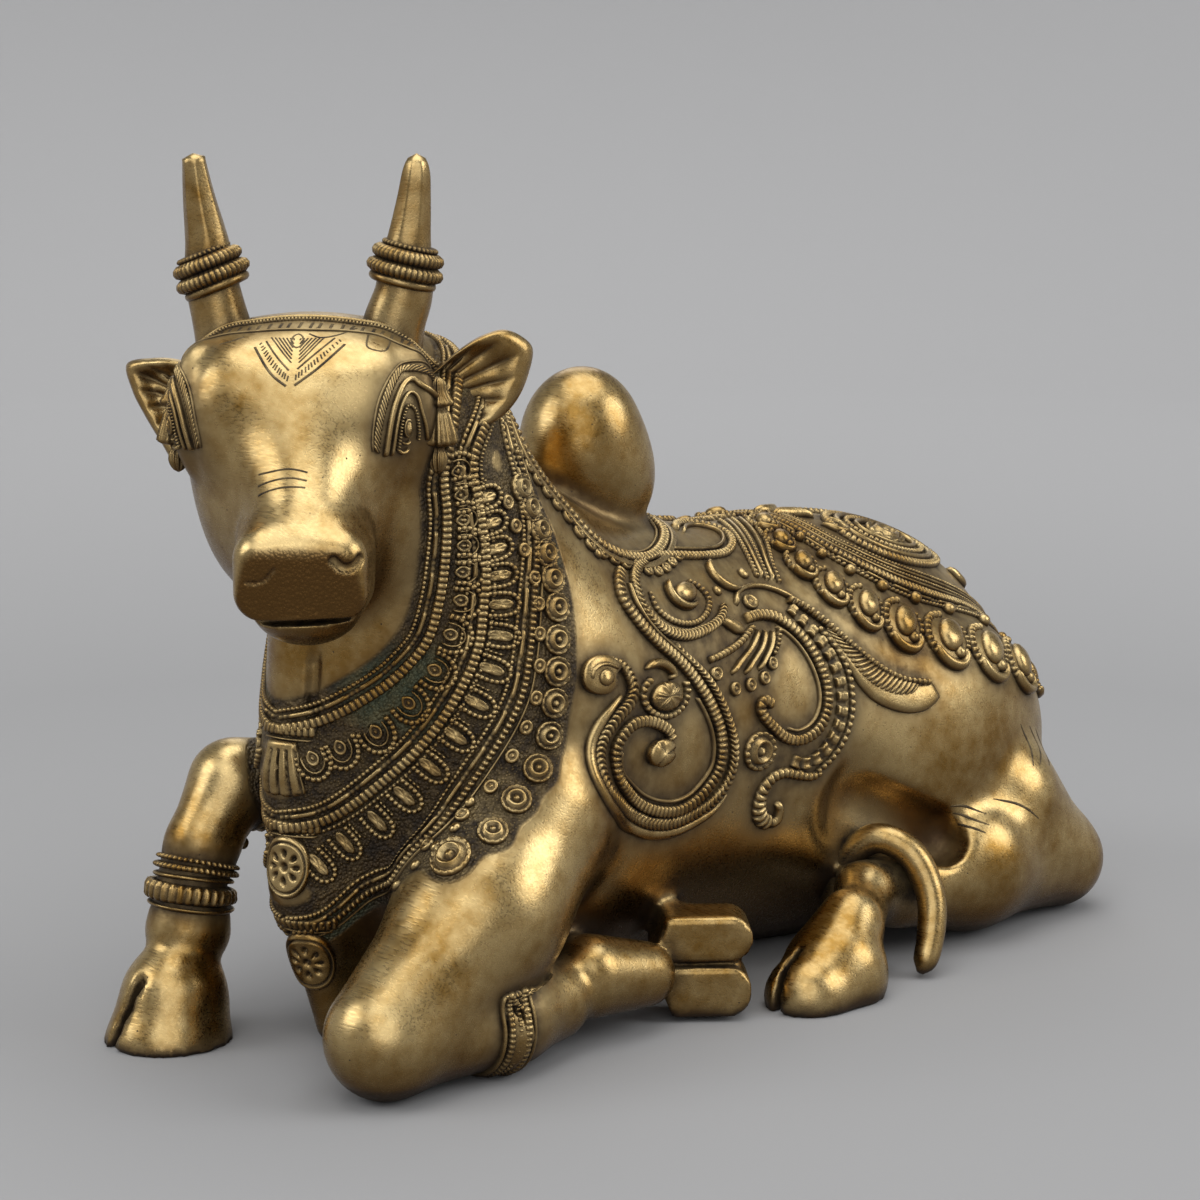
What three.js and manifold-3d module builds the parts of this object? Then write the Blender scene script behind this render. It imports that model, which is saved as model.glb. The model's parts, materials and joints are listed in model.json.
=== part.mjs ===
// A nandi, the bull of a temple, cast in brass. It lies with its left foreleg folded under it,
// its right foreleg raised on the hoof, and its head turned to its left.
// Millimetres, +Z up. The bull faces -Y and its left flank is +X.
import * as THREE from "three";
import { mergeVertices } from "three/addons/utils/BufferGeometryUtils.js";
import Module from "manifold-3d";

// Driving dimensions
const LENGTH = 360; // from the muzzle to the back of the rump
const ROPE_WIDTH = 4.2; // a rope of the carving, across
const ROPE_HEIGHT = 2.0; // how far a rope stands off the skin
const STUD_HEIGHT = 2.2; // how far a rosette or a lobe stands off the skin
const ROOT_DEPTH = 2.2; // how deep each carving is rooted in the body
const CLEFT_WIDTH = 2.4; // the slit between the two toes of a hoof
const MOUTH_WIDTH = 1.6; // the slit between the lips
const EAR_THICKNESS = 6;

// The figure's own forms are drawn in parts of its length, and so are the places of its carving.
const PARTS = 362;
const part = LENGTH / PARTS;
const root = ROOT_DEPTH / part;
const rope = { width: ROPE_WIDTH / part, height: ROPE_HEIGHT / part };

const radians = THREE.MathUtils.degToRad;
const LEFT = 1;
const RIGHT = -1;

// Vectors are [x, y, z] lists.
const sum = (a, b, scale = 1) => [a[0] + b[0] * scale, a[1] + b[1] * scale, a[2] + b[2] * scale];
const dot = (a, b) => a[0] * b[0] + a[1] * b[1] + a[2] * b[2];
const size = (a) => Math.hypot(a[0], a[1], a[2]);
const unit = (a) => a.map((v) => v / size(a));
const cross = (a, b) => [a[1] * b[2] - a[2] * b[1], a[2] * b[0] - a[0] * b[2], a[0] * b[1] - a[1] * b[0]];

// A turned frame: into() takes a point from the world to it, and out() back.
function frameAt(at, { yaw = 0, pitch = 0, roll = 0 } = {}) {
  const turn = new THREE.Matrix4()
    .makeRotationZ(radians(yaw))
    .multiply(new THREE.Matrix4().makeRotationX(radians(pitch)))
    .multiply(new THREE.Matrix4().makeRotationY(radians(roll)));
  const m = turn.elements;
  const [x, y, z] = [m.slice(0, 3), m.slice(4, 7), m.slice(8, 11)];
  return {
    into: (p) => {
      const q = sum(p, at, -1);
      return [dot(q, x), dot(q, y), dot(q, z)];
    },
    out: (q) => sum(sum(sum(at, x, q[0]), y, q[1]), z, q[2]),
  };
}

// Forms, as the distance from a point to each: negative inside
function egg(p, at, radii, turn) {
  const q = turn ? frameAt(at, turn).into(p) : sum(p, at, -1);
  const near = Math.hypot(q[0] / radii[0], q[1] / radii[1], q[2] / radii[2]);
  const slope = Math.hypot(q[0] / radii[0] ** 2, q[1] / radii[1] ** 2, q[2] / radii[2] ** 2);
  return (near * (near - 1)) / (slope + 1e-9);
}

function cone(p, a, b, ra, rb) {
  const axis = sum(b, a, -1);
  const long2 = dot(axis, axis);
  const taper = ra - rb;
  const side2 = long2 - taper * taper;
  const q = sum(p, a, -1);
  const y = dot(q, axis);
  const z = y - long2;
  const off = sum([q[0] * long2, q[1] * long2, q[2] * long2], axis, -y);
  const x2 = dot(off, off);
  const k = Math.sign(taper) * taper * taper * x2;
  if (Math.sign(z) * side2 * z * z * long2 > k) return Math.sqrt(x2 + z * z * long2) / long2 - rb;
  if (Math.sign(y) * side2 * y * y * long2 < k) return Math.sqrt(x2 + y * y * long2) / long2 - ra;
  return (Math.sqrt((x2 * side2) / long2) + y * taper) / long2 - ra;
}

function block(p, at, half, round, turn) {
  const q = turn ? frameAt(at, turn).into(p) : sum(p, at, -1);
  const over = q.map((v, i) => Math.abs(v) - half[i] + round);
  return size(over.map((v) => Math.max(v, 0))) + Math.min(Math.max(...over), 0) - round;
}

function blend(a, b, soft) {
  const near = Math.max(soft - Math.abs(a - b), 0) / soft;
  return Math.min(a, b) - (near * near * soft) / 4;
}

const carve = (a, b, soft) => -blend(-a, b, soft);

// A chain of cones through balls given as [x, y, z, radius]
function limb(p, balls, soft) {
  let d = Infinity;
  for (let i = 1; i < balls.length; i++) {
    const [a, b] = [balls[i - 1], balls[i]];
    const stretch = cone(p, a.slice(0, 3), b.slice(0, 3), a[3], b[3]);
    d = i === 1 ? stretch : blend(d, stretch, soft);
  }
  return d;
}

const mirror = (p, side) => [p[0] * side, p[1], p[2]];

// The head's own frame: it looks along -y there, with the bull's left at +x.
const head = frameAt([3, -120, 180], { yaw: 44 });

function torsoForm(p) {
  let d = blend(egg(p, [0, 48, 70], [56, 106, 69]), egg(p, [0, 100, 65], [54, 84, 69]), 20);
  d = blend(d, egg(p, [0, -56, 78], [52, 62, 76]), 40);
  return blend(d, egg(p, [0, -12, 95], [42, 58, 46]), 30);
}

function neckForm(p) {
  const dewlap = limb(p, [[2, -113, 150, 10], [0, -123, 85, 8], [0, -121, 50, 9], [0, -110, 6, 7]], 8);
  return blend(cone(p, [0, -62, 110], [6, -92, 178], 50, 33), dewlap, 32);
}

function headForm(p) {
  const q = head.into(p);
  const both = [Math.abs(q[0]), q[1], q[2]];
  let d = blend(egg(q, [0, 4, 6], [33, 30, 29]), block(q, [0, 2, 16], [31, 20, 18], 13), 12);
  d = blend(d, egg(q, [0, 0, -13], [31, 33, 29]), 18);
  d = blend(d, egg(both, [19, -17, 11], [14, 12, 17]), 9);
  d = blend(d, cone(q, [0, -12, 8], [3, -42, -18], 19, 13.5), 14);
  d = blend(d, cone(q, [0, -10, -20], [3, -42, -35], 21, 12), 12);
  let muzzle = cone(q, [-5, -51, -25], [11, -51, -25], 11.5, 11.5);
  muzzle = blend(muzzle, cone(q, [-2.5, -52, -33], [8.5, -52, -33], 11, 11), 8);
  const pad = q[1] + 62 + (q[2] + 25) * 0.35;
  muzzle = carve(muzzle, pad, 2);
  muzzle = blend(muzzle, egg(q, [3, -43, -41], [13.5, 14, 8]), 3);
  d = blend(d, muzzle, 8);
  return blend(d, egg(both, [29, -11, 11], [6.5, 12, 19], { yaw: 30 }), 4);
}

const humpForm = (p) =>
  blend(egg(p, [0, -8, 169.5], [19.5, 20, 25]), egg(p, [0, 1, 158], [16, 15.5, 18]), 10);

function foldedForelegForm(p) {
  let d = limb(p, [[37, -70, 68, 28], [47, -96, 45, 22.5], [50, -135, 18, 17.5]], 12);
  let shin = limb(p, [[50, -135, 17, 16], [55, -94, 16, 13.5], [53, -70, 15, 14]], 6);
  shin = blend(shin, cone(p, [53, -58, 18], [56, -40, 18], 15.5, 13), 4);
  d = blend(d, shin, 4);
  return blend(d, block(p, [58.5, -14.5, 18], [10, 13.5, 18], 3.5, { yaw: -20 }), 2.5);
}

function raisedForelegForm(p) {
  let d = limb(p, [[-26, -66, 71, 25], [-34, -90, 71, 15], [-40, -115, 73, 12.8]], 6);
  d = blend(d, limb(p, [[-40, -116, 73.5, 12.5], [-38, -127, 56, 10.6], [-38, -131, 44, 10.5]], 4), 4);
  d = blend(d, cone(p, [-38, -131.5, 34.5], [-38, -132, 32], 12.0, 12.2), 3);
  return blend(d, limb(p, [[-36.5, -134.5, 25, 8.5], [-34.5, -141, 10, 16.5], [-34, -142, 4, 18.5]], 4), 3);
}

function hindlegForm(p, side) {
  const m = mirror(p, side);
  let shank = limb(m, [[50, 138, 40, 24], [58, 165, 17, 14]], 10);
  shank = blend(shank, limb(m, [[57, 163, 17, 16], [56, 115, 24, 21], [58, 78, 22, 12.5]], 10), 8);
  let d = blend(egg(m, [39, 112, 60], [27, 58, 46]), shank, 6);
  d = carve(d, egg(m, [66, 76, 45], [15, 22, 9]), 8);
  d = blend(d, cone(m, [58, 80, 22], [61, 60, 25], 11.5, 9.8), 4);
  d = blend(d, cone(m, [62, 58, 25], [72, 42, 20], 8.5, 9), 4);
  const hoof = blend(
    limb(m, [[71, 40, 22, 9.5], [74, 30, 9, 15.5]], 4),
    cone(m, [74, 30, 5], [76, 15, 3], 16, 13.5),
    4
  );
  return blend(d, hoof, 3);
}

function figure(p) {
  let d = blend(torsoForm(p), neckForm(p), 24);
  d = blend(d, headForm(p), 8);
  d = blend(d, humpForm(p), 6);
  d = blend(d, foldedForelegForm(p), 7);
  d = blend(d, raisedForelegForm(p), 4);
  return blend(blend(d, hindlegForm(p, LEFT), 8), hindlegForm(p, RIGHT), 8);
}

// The skin's slope at a point, and the nearest point of the skin
const PROBE = 0.4;
function slope(p) {
  return [0, 1, 2].map((axis) => {
    const [ahead, behind] = [[...p], [...p]];
    ahead[axis] += PROBE;
    behind[axis] -= PROBE;
    return (figure(ahead) - figure(behind)) / (2 * PROBE);
  });
}

const SETTLE_STEPS = 8;
function settle(p) {
  let q = p;
  for (let i = 0; i < SETTLE_STEPS; i++) {
    const g = slope(q);
    q = sum(q, g, -figure(q) / Math.max(dot(g, g), 0.2));
  }
  return q;
}

// Where a line from outside first meets the skin
function meet(from, way) {
  let q = from;
  const step = unit(way);
  for (let i = 0; i < 60; i++) q = sum(q, step, figure(q) * 0.9);
  return settle(q);
}

// Places on the body: along it from the withers, and round it in degrees from the left flank's level
const BARREL_LEVEL = 70;
const BARREL_REACH = 120;
function onBarrel([y, degrees], side = LEFT) {
  const out = [Math.cos(radians(degrees)) * side, 0, Math.sin(radians(degrees))];
  return meet(sum([0, y, BARREL_LEVEL], out, BARREL_REACH), out.map((v) => -v));
}

// Places on the face: across it and up it, in the head's frame
const onFace = ([x, z]) => {
  const from = head.out([x, -90, z]);
  return meet(from, sum(head.out([x, 0, z]), from, -1));
};

// Meshes are lists of corners and of triangles, in parts until they become solids.
function closedMesh(corners, triangles) {
  const geometry = new THREE.BufferGeometry();
  geometry.setAttribute("position", new THREE.Float32BufferAttribute(corners.flat().map((v) => v * part), 3));
  geometry.setIndex(triangles.flat());
  return geometry;
}

const wasm = await Module();
wasm.setup();

function solid(geometry) {
  const bare = geometry.clone();
  bare.deleteAttribute("normal");
  bare.deleteAttribute("uv");
  const merged = mergeVertices(bare, 1e-4);
  return new wasm.Manifold(
    new wasm.Mesh({
      numProp: 3,
      vertProperties: new Float32Array(merged.attributes.position.array),
      triVerts: new Uint32Array(merged.index.array),
    })
  );
}

// The skin of the figure as a net of four-sided cells, drawn to the true surface
function rulings(stops) {
  const lines = [];
  for (const [from, to, step] of stops) {
    const count = Math.round((to - from) / step);
    for (let i = 0; i < count; i++) lines.push(from + ((to - from) * i) / count);
  }
  lines.push(stops.at(-1)[1]);
  return lines;
}

const NET = [
  rulings([[-110, 110, 7]]),
  rulings([[-185, -85, 5.8], [-85, 205, 7.6]]),
  rulings([[-26, 52, 6.5], [52, 136, 8.5], [136, 226, 5.8]]),
];

function skinNet() {
  const [xs, ys, zs] = NET;
  const [nx, ny, nz] = NET.map((lines) => lines.length);
  const at = (i, j, k) => (k * ny + j) * nx + i;
  const value = new Float64Array(nx * ny * nz);
  for (let k = 0; k < nz; k++)
    for (let j = 0; j < ny; j++)
      for (let i = 0; i < nx; i++) value[at(i, j, k)] = figure([xs[i], ys[j], zs[k]]);

  // Where two forms touch only across a cell's diagonal, a hair of metal joins them.
  const STEPS = [[1, 0, 0], [0, 1, 0], [0, 0, 1]];
  const JOINED = -0.01;
  for (let pinched = true; pinched; ) {
    pinched = false;
    for (let k = 1; k < nz - 1; k++)
      for (let j = 1; j < ny - 1; j++)
        for (let i = 1; i < nx - 1; i++)
          STEPS.forEach((_, way) => {
            const [u, v] = [STEPS[(way + 1) % 3], STEPS[(way + 2) % 3]];
            const square = [[0, 0], [1, 0], [1, 1], [0, 1]].map(([m, n]) =>
              at(i + m * u[0] + n * v[0], j + m * u[1] + n * v[1], k + m * u[2] + n * v[2])
            );
            const [a, b, c, d] = square.map((place) => value[place] < 0);
            if (a !== c || b !== d || a === b) return;
            value[a ? square[1] : square[0]] = JOINED;
            pinched = true;
          });
  }

  const corners = [];
  const cornerOf = new Map();
  const cornerIn = (i, j, k) => {
    const key = at(i, j, k);
    if (cornerOf.has(key)) return cornerOf.get(key);
    let total = [0, 0, 0];
    let count = 0;
    for (let edge = 0; edge < 12; edge++) {
      const way = edge >> 2;
      const start = [i, j, k];
      start[(way + 1) % 3] += edge & 1;
      start[(way + 2) % 3] += (edge >> 1) & 1;
      const end = start.map((v, n) => v + STEPS[way][n]);
      const [a, b] = [value[at(...start)], value[at(...end)]];
      if (a < 0 === b < 0) continue;
      const t = a / (a - b);
      const place = ([u, v, w]) => [xs[u], ys[v], zs[w]];
      const [from, to] = [place(start), place(end)];
      total = sum(total, sum(from, sum(to, from, -1), t));
      count++;
    }
    const mean = total.map((v) => v / count);
    const drawn = settle(mean);
    const reach = Math.min(xs[i + 1] - xs[i], ys[j + 1] - ys[j], zs[k + 1] - zs[k]) / 2;
    const moved = sum(drawn, mean, -1);
    const share = Math.min(1, reach / (size(moved) + 1e-9));
    corners.push(sum(mean, moved, share));
    cornerOf.set(key, corners.length - 1);
    return corners.length - 1;
  };

  const triangles = [];
  for (let k = 1; k < nz - 1; k++)
    for (let j = 1; j < ny - 1; j++)
      for (let i = 1; i < nx - 1; i++)
        STEPS.forEach((step, way) => {
          const [a, b] = [value[at(i, j, k)], value[at(i + step[0], j + step[1], k + step[2])]];
          if (a < 0 === b < 0) return;
          const [u, v] = [STEPS[(way + 1) % 3], STEPS[(way + 2) % 3]];
          const cell = (m, n) => cornerIn(i - m * u[0] - n * v[0], j - m * u[1] - n * v[1], k - m * u[2] - n * v[2]);
          const ring = [cell(0, 0), cell(1, 0), cell(1, 1), cell(0, 1)];
          if (a >= 0) ring.reverse();
          const span = (m, n) => size(sum(corners[ring[m]], corners[ring[n]], -1));
          const [p, q, r, s] = span(0, 2) < span(1, 3) ? ring : [ring[1], ring[2], ring[3], ring[0]];
          triangles.push([p, q, r], [p, r, s]);
        });
  return solid(closedMesh(corners, triangles));
}

// A closed strip or tube: rings of equal corner counts joined in order, with its ends capped or itself closed
function stripMesh(rings, loops) {
  const around = rings[0].length;
  const triangles = [];
  const last = loops ? rings.length : rings.length - 1;
  for (let i = 0; i < last; i++)
    for (let j = 0; j < around; j++) {
      const [a, b] = [i * around + j, i * around + ((j + 1) % around)];
      const next = ((i + 1) % rings.length) * around;
      const [c, d] = [next + j, next + ((j + 1) % around)];
      triangles.push([a, c, b], [b, c, d]);
    }
  if (!loops)
    for (let j = 1; j < around - 1; j++) {
      const end = (rings.length - 1) * around;
      triangles.push([0, j, j + 1], [end, end + j + 1, end + j]);
    }
  const made = solid(closedMesh(rings.flat(), triangles));
  return made.volume() < 0 ? solid(closedMesh(rings.flat(), triangles.map((t) => [t[0], t[2], t[1]]))) : made;
}

// Evenly spaced places along a smooth line through the given ones
function along(places, step, loops = false) {
  const line = new THREE.CatmullRomCurve3(places.map((p) => new THREE.Vector3(...p)), loops, "centripetal");
  const count = Math.max(3, Math.round(line.getLength() / step));
  return line.getSpacedPoints(count).slice(0, loops ? count : count + 1).map((v) => v.toArray());
}

// A raised band laid on the skin. Its section is a low roof, or has a flat top where it is wide.
const ROPE_STEP = 10;
function band(places, { width = rope.width, height = rope.height, step = ROPE_STEP, loops = false } = {}) {
  const line = along(places, step, loops).map(settle);
  const rings = line.map((p, i) => {
    const before = line[loops ? (i + line.length - 1) % line.length : Math.max(i - 1, 0)];
    const after = line[loops ? (i + 1) % line.length : Math.min(i + 1, line.length - 1)];
    const up = unit(slope(p));
    const across = unit(cross(unit(sum(after, before, -1)), up));
    const point = (side, rise) => sum(sum(p, across, (side * width) / 2), up, rise);
    const wide = width > rope.width * 1.5;
    return wide
      ? [point(-1, -root), point(-0.8, height), point(0.8, height), point(1, -root)]
      : [point(-1, -root), point(0, height), point(1, -root)];
  });
  return stripMesh(rings, loops);
}

// A raised stud on the skin: a rosette, a lobe or a pendant, wider along its own way where it is long
function stud(place, { long, wide = long, way = [0, 0, 1], height = STUD_HEIGHT / part, sides = 6, top = 0.6 }) {
  const p = settle(place);
  const up = unit(slope(p));
  const side = unit(cross(way, up));
  const ahead = cross(up, side);
  const ringAt = (share, rise) =>
    Array.from({ length: sides }, (_, i) => {
      const turn = (2 * Math.PI * (i + 0.5)) / sides;
      const flat = sum(sum(p, ahead, Math.cos(turn) * long * share), side, Math.sin(turn) * wide * share);
      return sum(flat, up, rise);
    });
  return stripMesh([ringAt(1, -root), ringAt(1, height * 0.4), ringAt(top, height)], false);
}

// A tube through balls given as [x, y, z, radius]
function tube(balls, sides) {
  let side;
  const rings = balls.map((ball, i) => {
    const way = unit(sum(balls[Math.min(i + 1, balls.length - 1)], balls[Math.max(i - 1, 0)], -1));
    side ??= Math.abs(way[0]) < 0.8 ? [1, 0, 0] : [0, 1, 0];
    side = unit(sum(side, way, -dot(side, way)));
    const other = cross(way, side);
    return Array.from({ length: sides }, (_, n) => {
      const turn = (2 * Math.PI * n) / sides;
      return sum(sum(ball, side, Math.cos(turn) * ball[3]), other, Math.sin(turn) * ball[3]);
    });
  });
  return stripMesh(rings, false);
}

// The same balls and more between them, on a smooth line
function smoothly(balls, step) {
  const line = new THREE.CatmullRomCurve3(balls.map((ball) => new THREE.Vector3(...ball)), false, "centripetal");
  const count = Math.round(line.getLength() / step);
  return Array.from({ length: count + 1 }, (_, i) => {
    const place = (i / count) * (balls.length - 1);
    const [before, share] = [Math.min(Math.floor(place), balls.length - 2), place % 1 || +(i === count)];
    const radius = THREE.MathUtils.lerp(balls[before][3], balls[before + 1][3], share);
    return [...line.getPoint(i / count).toArray(), radius];
  });
}

// Horns, each with a ring of two tiers, in the head's frame
function horn(side) {
  const out = side === LEFT ? 0.8 : 1.8;
  const inWorld = (balls) => balls.map(([x, y, z, r]) => [...head.out([(x + out) * side, y, z]), r]);
  const shaft = [[21.5, 2, 22, 10.2], [23.4, 2, 38, 8.1], [25.6, 2, 50, 7.3], [28.4, 1.2, 65, 5.6], [30, 0, 79.5, 3.4]];
  const rise = side === LEFT ? 1.2 : -0.6;
  const ringTiers = [[24.6, 2, 45.3, 9.4], [24.9, 2, 46.8, 10.6], [25.4, 2, 49.4, 10.6], [25.6, 2, 50.2, 9.2],
    [26.1, 2, 53, 9.4], [26.3, 2, 54.4, 8.2]];
  return [tube(inWorld(shaft), 8), tube(inWorld(ringTiers.map(([x, y, z, r]) => [x, y, z + rise, r])), 10)];
}

// Ears: a leaf with a dished front. Its outline is across and up in the head's frame.
const EAR_OUTLINES = {
  [LEFT]: [[30, 17], [37, 23.5], [44, 29], [52, 31], [61, 27.5], [60, 18], [56, 9], [48, 3], [39, 1], [32, 4]],
  [RIGHT]: [[30, 18], [37, 21.5], [45, 22.5], [52, 20], [48, 12.5], [43, 5.5], [37, 1], [30, 5]],
};
const EAR_BACK = 12;
const EAR_SWEEP = 0.12;
function ear(side) {
  const outline = EAR_OUTLINES[side];
  const centre = [0, 1].map((n) => outline.reduce((total, p) => total + p[n], 0) / outline.length);
  const thickness = EAR_THICKNESS / part;
  const ringAt = (share, depth) =>
    outline.map(([x, z]) => {
      const [u, w] = [centre[0] + (x - centre[0]) * share, centre[1] + (z - centre[1]) * share];
      return head.out([u * side, EAR_BACK - depth + (u - 32) * EAR_SWEEP, w]);
    });
  return stripMesh(
    [ringAt(0.86, 0), ringAt(1, thickness * 0.5), ringAt(0.97, thickness), ringAt(0.78, thickness),
      ringAt(0.6, thickness * 0.45)],
    false
  );
}

// The tail hangs down the rump and comes out between the left thigh and the belly.
const TAIL = [[0, 154, 113, 5], [0, 172, 101, 6], [0, 183, 76, 6], [0, 184, 48, 5.5], [2, 182, 20, 5], [14, 178, 5, 5],
  [40, 166, 5, 5]];
const TAIL_LOOP = [[46, 64, 20, 4.6], [50, 63, 33, 4.6], [59, 67, 41, 4.6], [69, 72, 37, 4.6], [77, 73, 24, 4.4],
  [82, 64, 3, 3.8]];
const TAIL_STEP = 8;
const tails = () => [TAIL, TAIL_LOOP].map((balls) => tube(smoothly(balls, TAIL_STEP), 8));

// The folded foreleg's hoof is squarer than the others: rings of a rounded oblong, given as [height, share]
const SQUARE_HOOF = { at: [58.5, -14.5, 0], yaw: -20, across: 10, along: 13.5 };
const SQUARE_HOOF_LEVELS = [[-2, 0.9], [2, 1], [32, 0.98], [36, 0.8]];
function squareHoof() {
  const frame = frameAt(SQUARE_HOOF.at, SQUARE_HOOF);
  const corner = [[1, 0.7], [0.7, 1], [-0.7, 1], [-1, 0.7], [-1, -0.7], [-0.7, -1], [0.7, -1], [1, -0.7]];
  const rings = SQUARE_HOOF_LEVELS.map(([level, share]) =>
    corner.map(([u, v]) => frame.out([u * share * SQUARE_HOOF.across, v * share * SQUARE_HOOF.along, level]))
  );
  return stripMesh(rings, false);
}

// The collar: rows of rope from the nape down each shoulder to the dewlap, from the inmost outward
const COLLAR_ROWS = [
  [[3, -76, 207], [30, -92, 193], [37, -101, 165], [36, -101, 137], [30, -109, 117], [15, -124, 103], [2, -130, 98]],
  [[2, -68, 200], [29, -80, 188], [41, -90, 160], [43, -92, 125], [35, -106, 96], [15, -123, 74], [1, -129, 69]],
  [[1, -60, 193], [30, -68, 180], [42, -70, 154], [50, -83, 107], [38, -107, 68], [12, -121, 42], [0, -125, 38]],
];
const ROSETTE_ROW = [[36, -72, 171], [40, -65, 156], [49, -67, 132], [54, -71, 106], [54, -82, 86], [54, -97, 74],
  [46, -110, 60], [32, -118, 44]];
const ROSETTE_STEP = 10.5;
const ROSETTE_RADIUS = 3.9;

function collar(side) {
  const made = COLLAR_ROWS.map((row) => band(row.map((p) => mirror(p, side)), { step: 12.5 }));
  for (const place of along(ROSETTE_ROW, ROSETTE_STEP))
    made.push(stud(mirror(place, side), { long: ROSETTE_RADIUS, sides: 5 }));
  return made;
}

// Pendants down the front of the dewlap: a band and a drop below it at each row of the collar
const PENDANTS = [[98, 91], [69, 60], [38, 28]];
const DEWLAP_FRONT = -145;
const onDewlap = (z) => meet([2, DEWLAP_FRONT, z], [0, 1, 0]);
function pendants() {
  return PENDANTS.flatMap(([bandLevel, dropLevel]) => [
    stud(onDewlap(bandLevel), { long: 2.6, wide: 8.2, sides: 4, top: 0.8 }),
    stud(onDewlap(dropLevel), { long: 6.4, wide: 5.6, sides: 6 }),
  ]);
}

// The strap from the nape round the back of the hump
const HUMP_STRAP = [[22, -62, 188], [33, -66, 175], [33, -50, 157], [37, -38, 144], [34, -17, 138], [17, 11, 142],
  [0, 18, 144]];
function humpStrap() {
  const otherSide = HUMP_STRAP.slice(0, -1).map((p) => mirror(p, RIGHT)).reverse();
  return band([...HUMP_STRAP, ...otherSide], { width: rope.width * 1.7 });
}

// Scrolls on each flank, as places on the barrel
const LOWER_SCROLL = [[-57, 35], [-57, 41], [-49, 41], [-43, 35], [-47, 26], [-57, 19], [-60, 10], [-53, 1],
  [-37, -7], [-17, -10], [-2, -5], [3, 7], [0, 20], [-8, 31], [-21, 40], [-33, 49], [-37, 57]];
const LOWER_SPIRAL = [[-26, 13], [-27, 21], [-37, 25], [-49, 22], [-54, 12], [-46, 3], [-30, -3], [-13, -3],
  [-5, 8], [-7, 23]];
const UPPER_SCROLL = [[-29, 58], [-27, 49], [-17, 45], [-5, 44], [5, 46], [11, 50]];
const UPPER_CREST = [[-24, 60], [-15, 64], [-3, 66], [14, 66], [28, 66], [38, 70]];
const ARCH = [[21, 50], [28, 49], [38, 44], [46, 35], [48, 25], [46, 14], [38, 8], [27, 9], [20, 18]];
const ARCH_CREST = [[23, 54], [34, 54], [45, 47], [52, 36], [55, 24], [52, 12], [43, 3], [31, 1]];
const TAIL_CURL = [[41, -4], [29, -3], [18, -3], [16, -11], [19, -18], [25, -15]];
const FAN_ROOT = [26, 45];
const FAN_TIPS = [[-2, 34], [5, 29], [13, 28], [21, 29]];
const LEAF = [[55, 43], [64, 33], [76, 23], [90, 15]];
const BOSSES = [
  { at: [-33, 13], radius: 5.2 },
  { at: [-29, 29], radius: 6.4 },
  { at: [-6, 54], radius: 5.6 },
  { at: [15, 8], radius: 5.4 },
];

function flankScrolls(side) {
  const on = (places) => places.map((place) => onBarrel(place, side));
  const made = [LOWER_SCROLL, LOWER_SPIRAL, UPPER_SCROLL, UPPER_CREST, ARCH, ARCH_CREST, TAIL_CURL].map((places) =>
    band(on(places), { step: 8.5 })
  );
  for (const tip of FAN_TIPS) {
    const middle = [(FAN_ROOT[0] * 2 + tip[0]) / 3, (FAN_ROOT[1] + tip[1]) / 2 - 1];
    made.push(band(on([FAN_ROOT, middle, tip]), { width: rope.width * 0.8, step: 9 }));
  }
  made.push(band(on(LEAF), { width: rope.width * 1.9, step: 9 }));
  for (const { at, radius } of BOSSES) made.push(stud(onBarrel(at, side), { long: radius }));
  return made;
}

// The cloth on the rump: a border from the spine down each side, lobes along its edge and a round crest above
const CLOTH_BORDER = [[73, 90], [75, 74], [80, 60], [96, 51], [120, 44], [148, 37], [168, 32]];
const CLOTH_EDGE = [[60, 88], [61, 72], [68, 55], [82, 43], [104, 34], [130, 26], [156, 19], [170, 16]];
const CLOTH_LOBE_STEP = 15;
const CREST = { at: [112, 73], along: 19, round: 13 };

function rumpCloth(side) {
  const on = (place) => onBarrel(place, side);
  const made = [band(CLOTH_BORDER.map(on), { step: 13 })];
  for (const place of along(CLOTH_EDGE.map(on), CLOTH_LOBE_STEP)) made.push(stud(place, { long: 6.4, wide: 5.8 }));
  const crest = Array.from({ length: 8 }, (_, i) => {
    const turn = (2 * Math.PI * i) / 8;
    return on([CREST.at[0] + CREST.along * Math.cos(turn), CREST.at[1] + CREST.round * Math.sin(turn)]);
  });
  made.push(band(crest, { loops: true, step: 11 }), stud(on(CREST.at), { long: 7, wide: 6 }));
  return made;
}

// Rings round the legs, across the way that each leg runs
function legRing(centre, way, radius, width) {
  const side = unit(cross(way, [0.3, 0.9, 0.4]));
  const other = unit(cross(way, side));
  const circle = Array.from({ length: 10 }, (_, i) => {
    const turn = (2 * Math.PI * i) / 10;
    return sum(sum(centre, side, Math.cos(turn) * radius), other, Math.sin(turn) * radius);
  });
  return band(circle, { loops: true, width, step: 9 });
}

const anklets = () => [
  legRing([-38, -130, 50.5], [0.05, -0.3, -1], 12, rope.width),
  legRing([-38, -131.5, 43], [0, -0.2, -1], 12, rope.width * 1.6),
  legRing([54.5, -100, 16.5], [0.05, 1, 0], 15, rope.width * 1.6),
];

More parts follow.
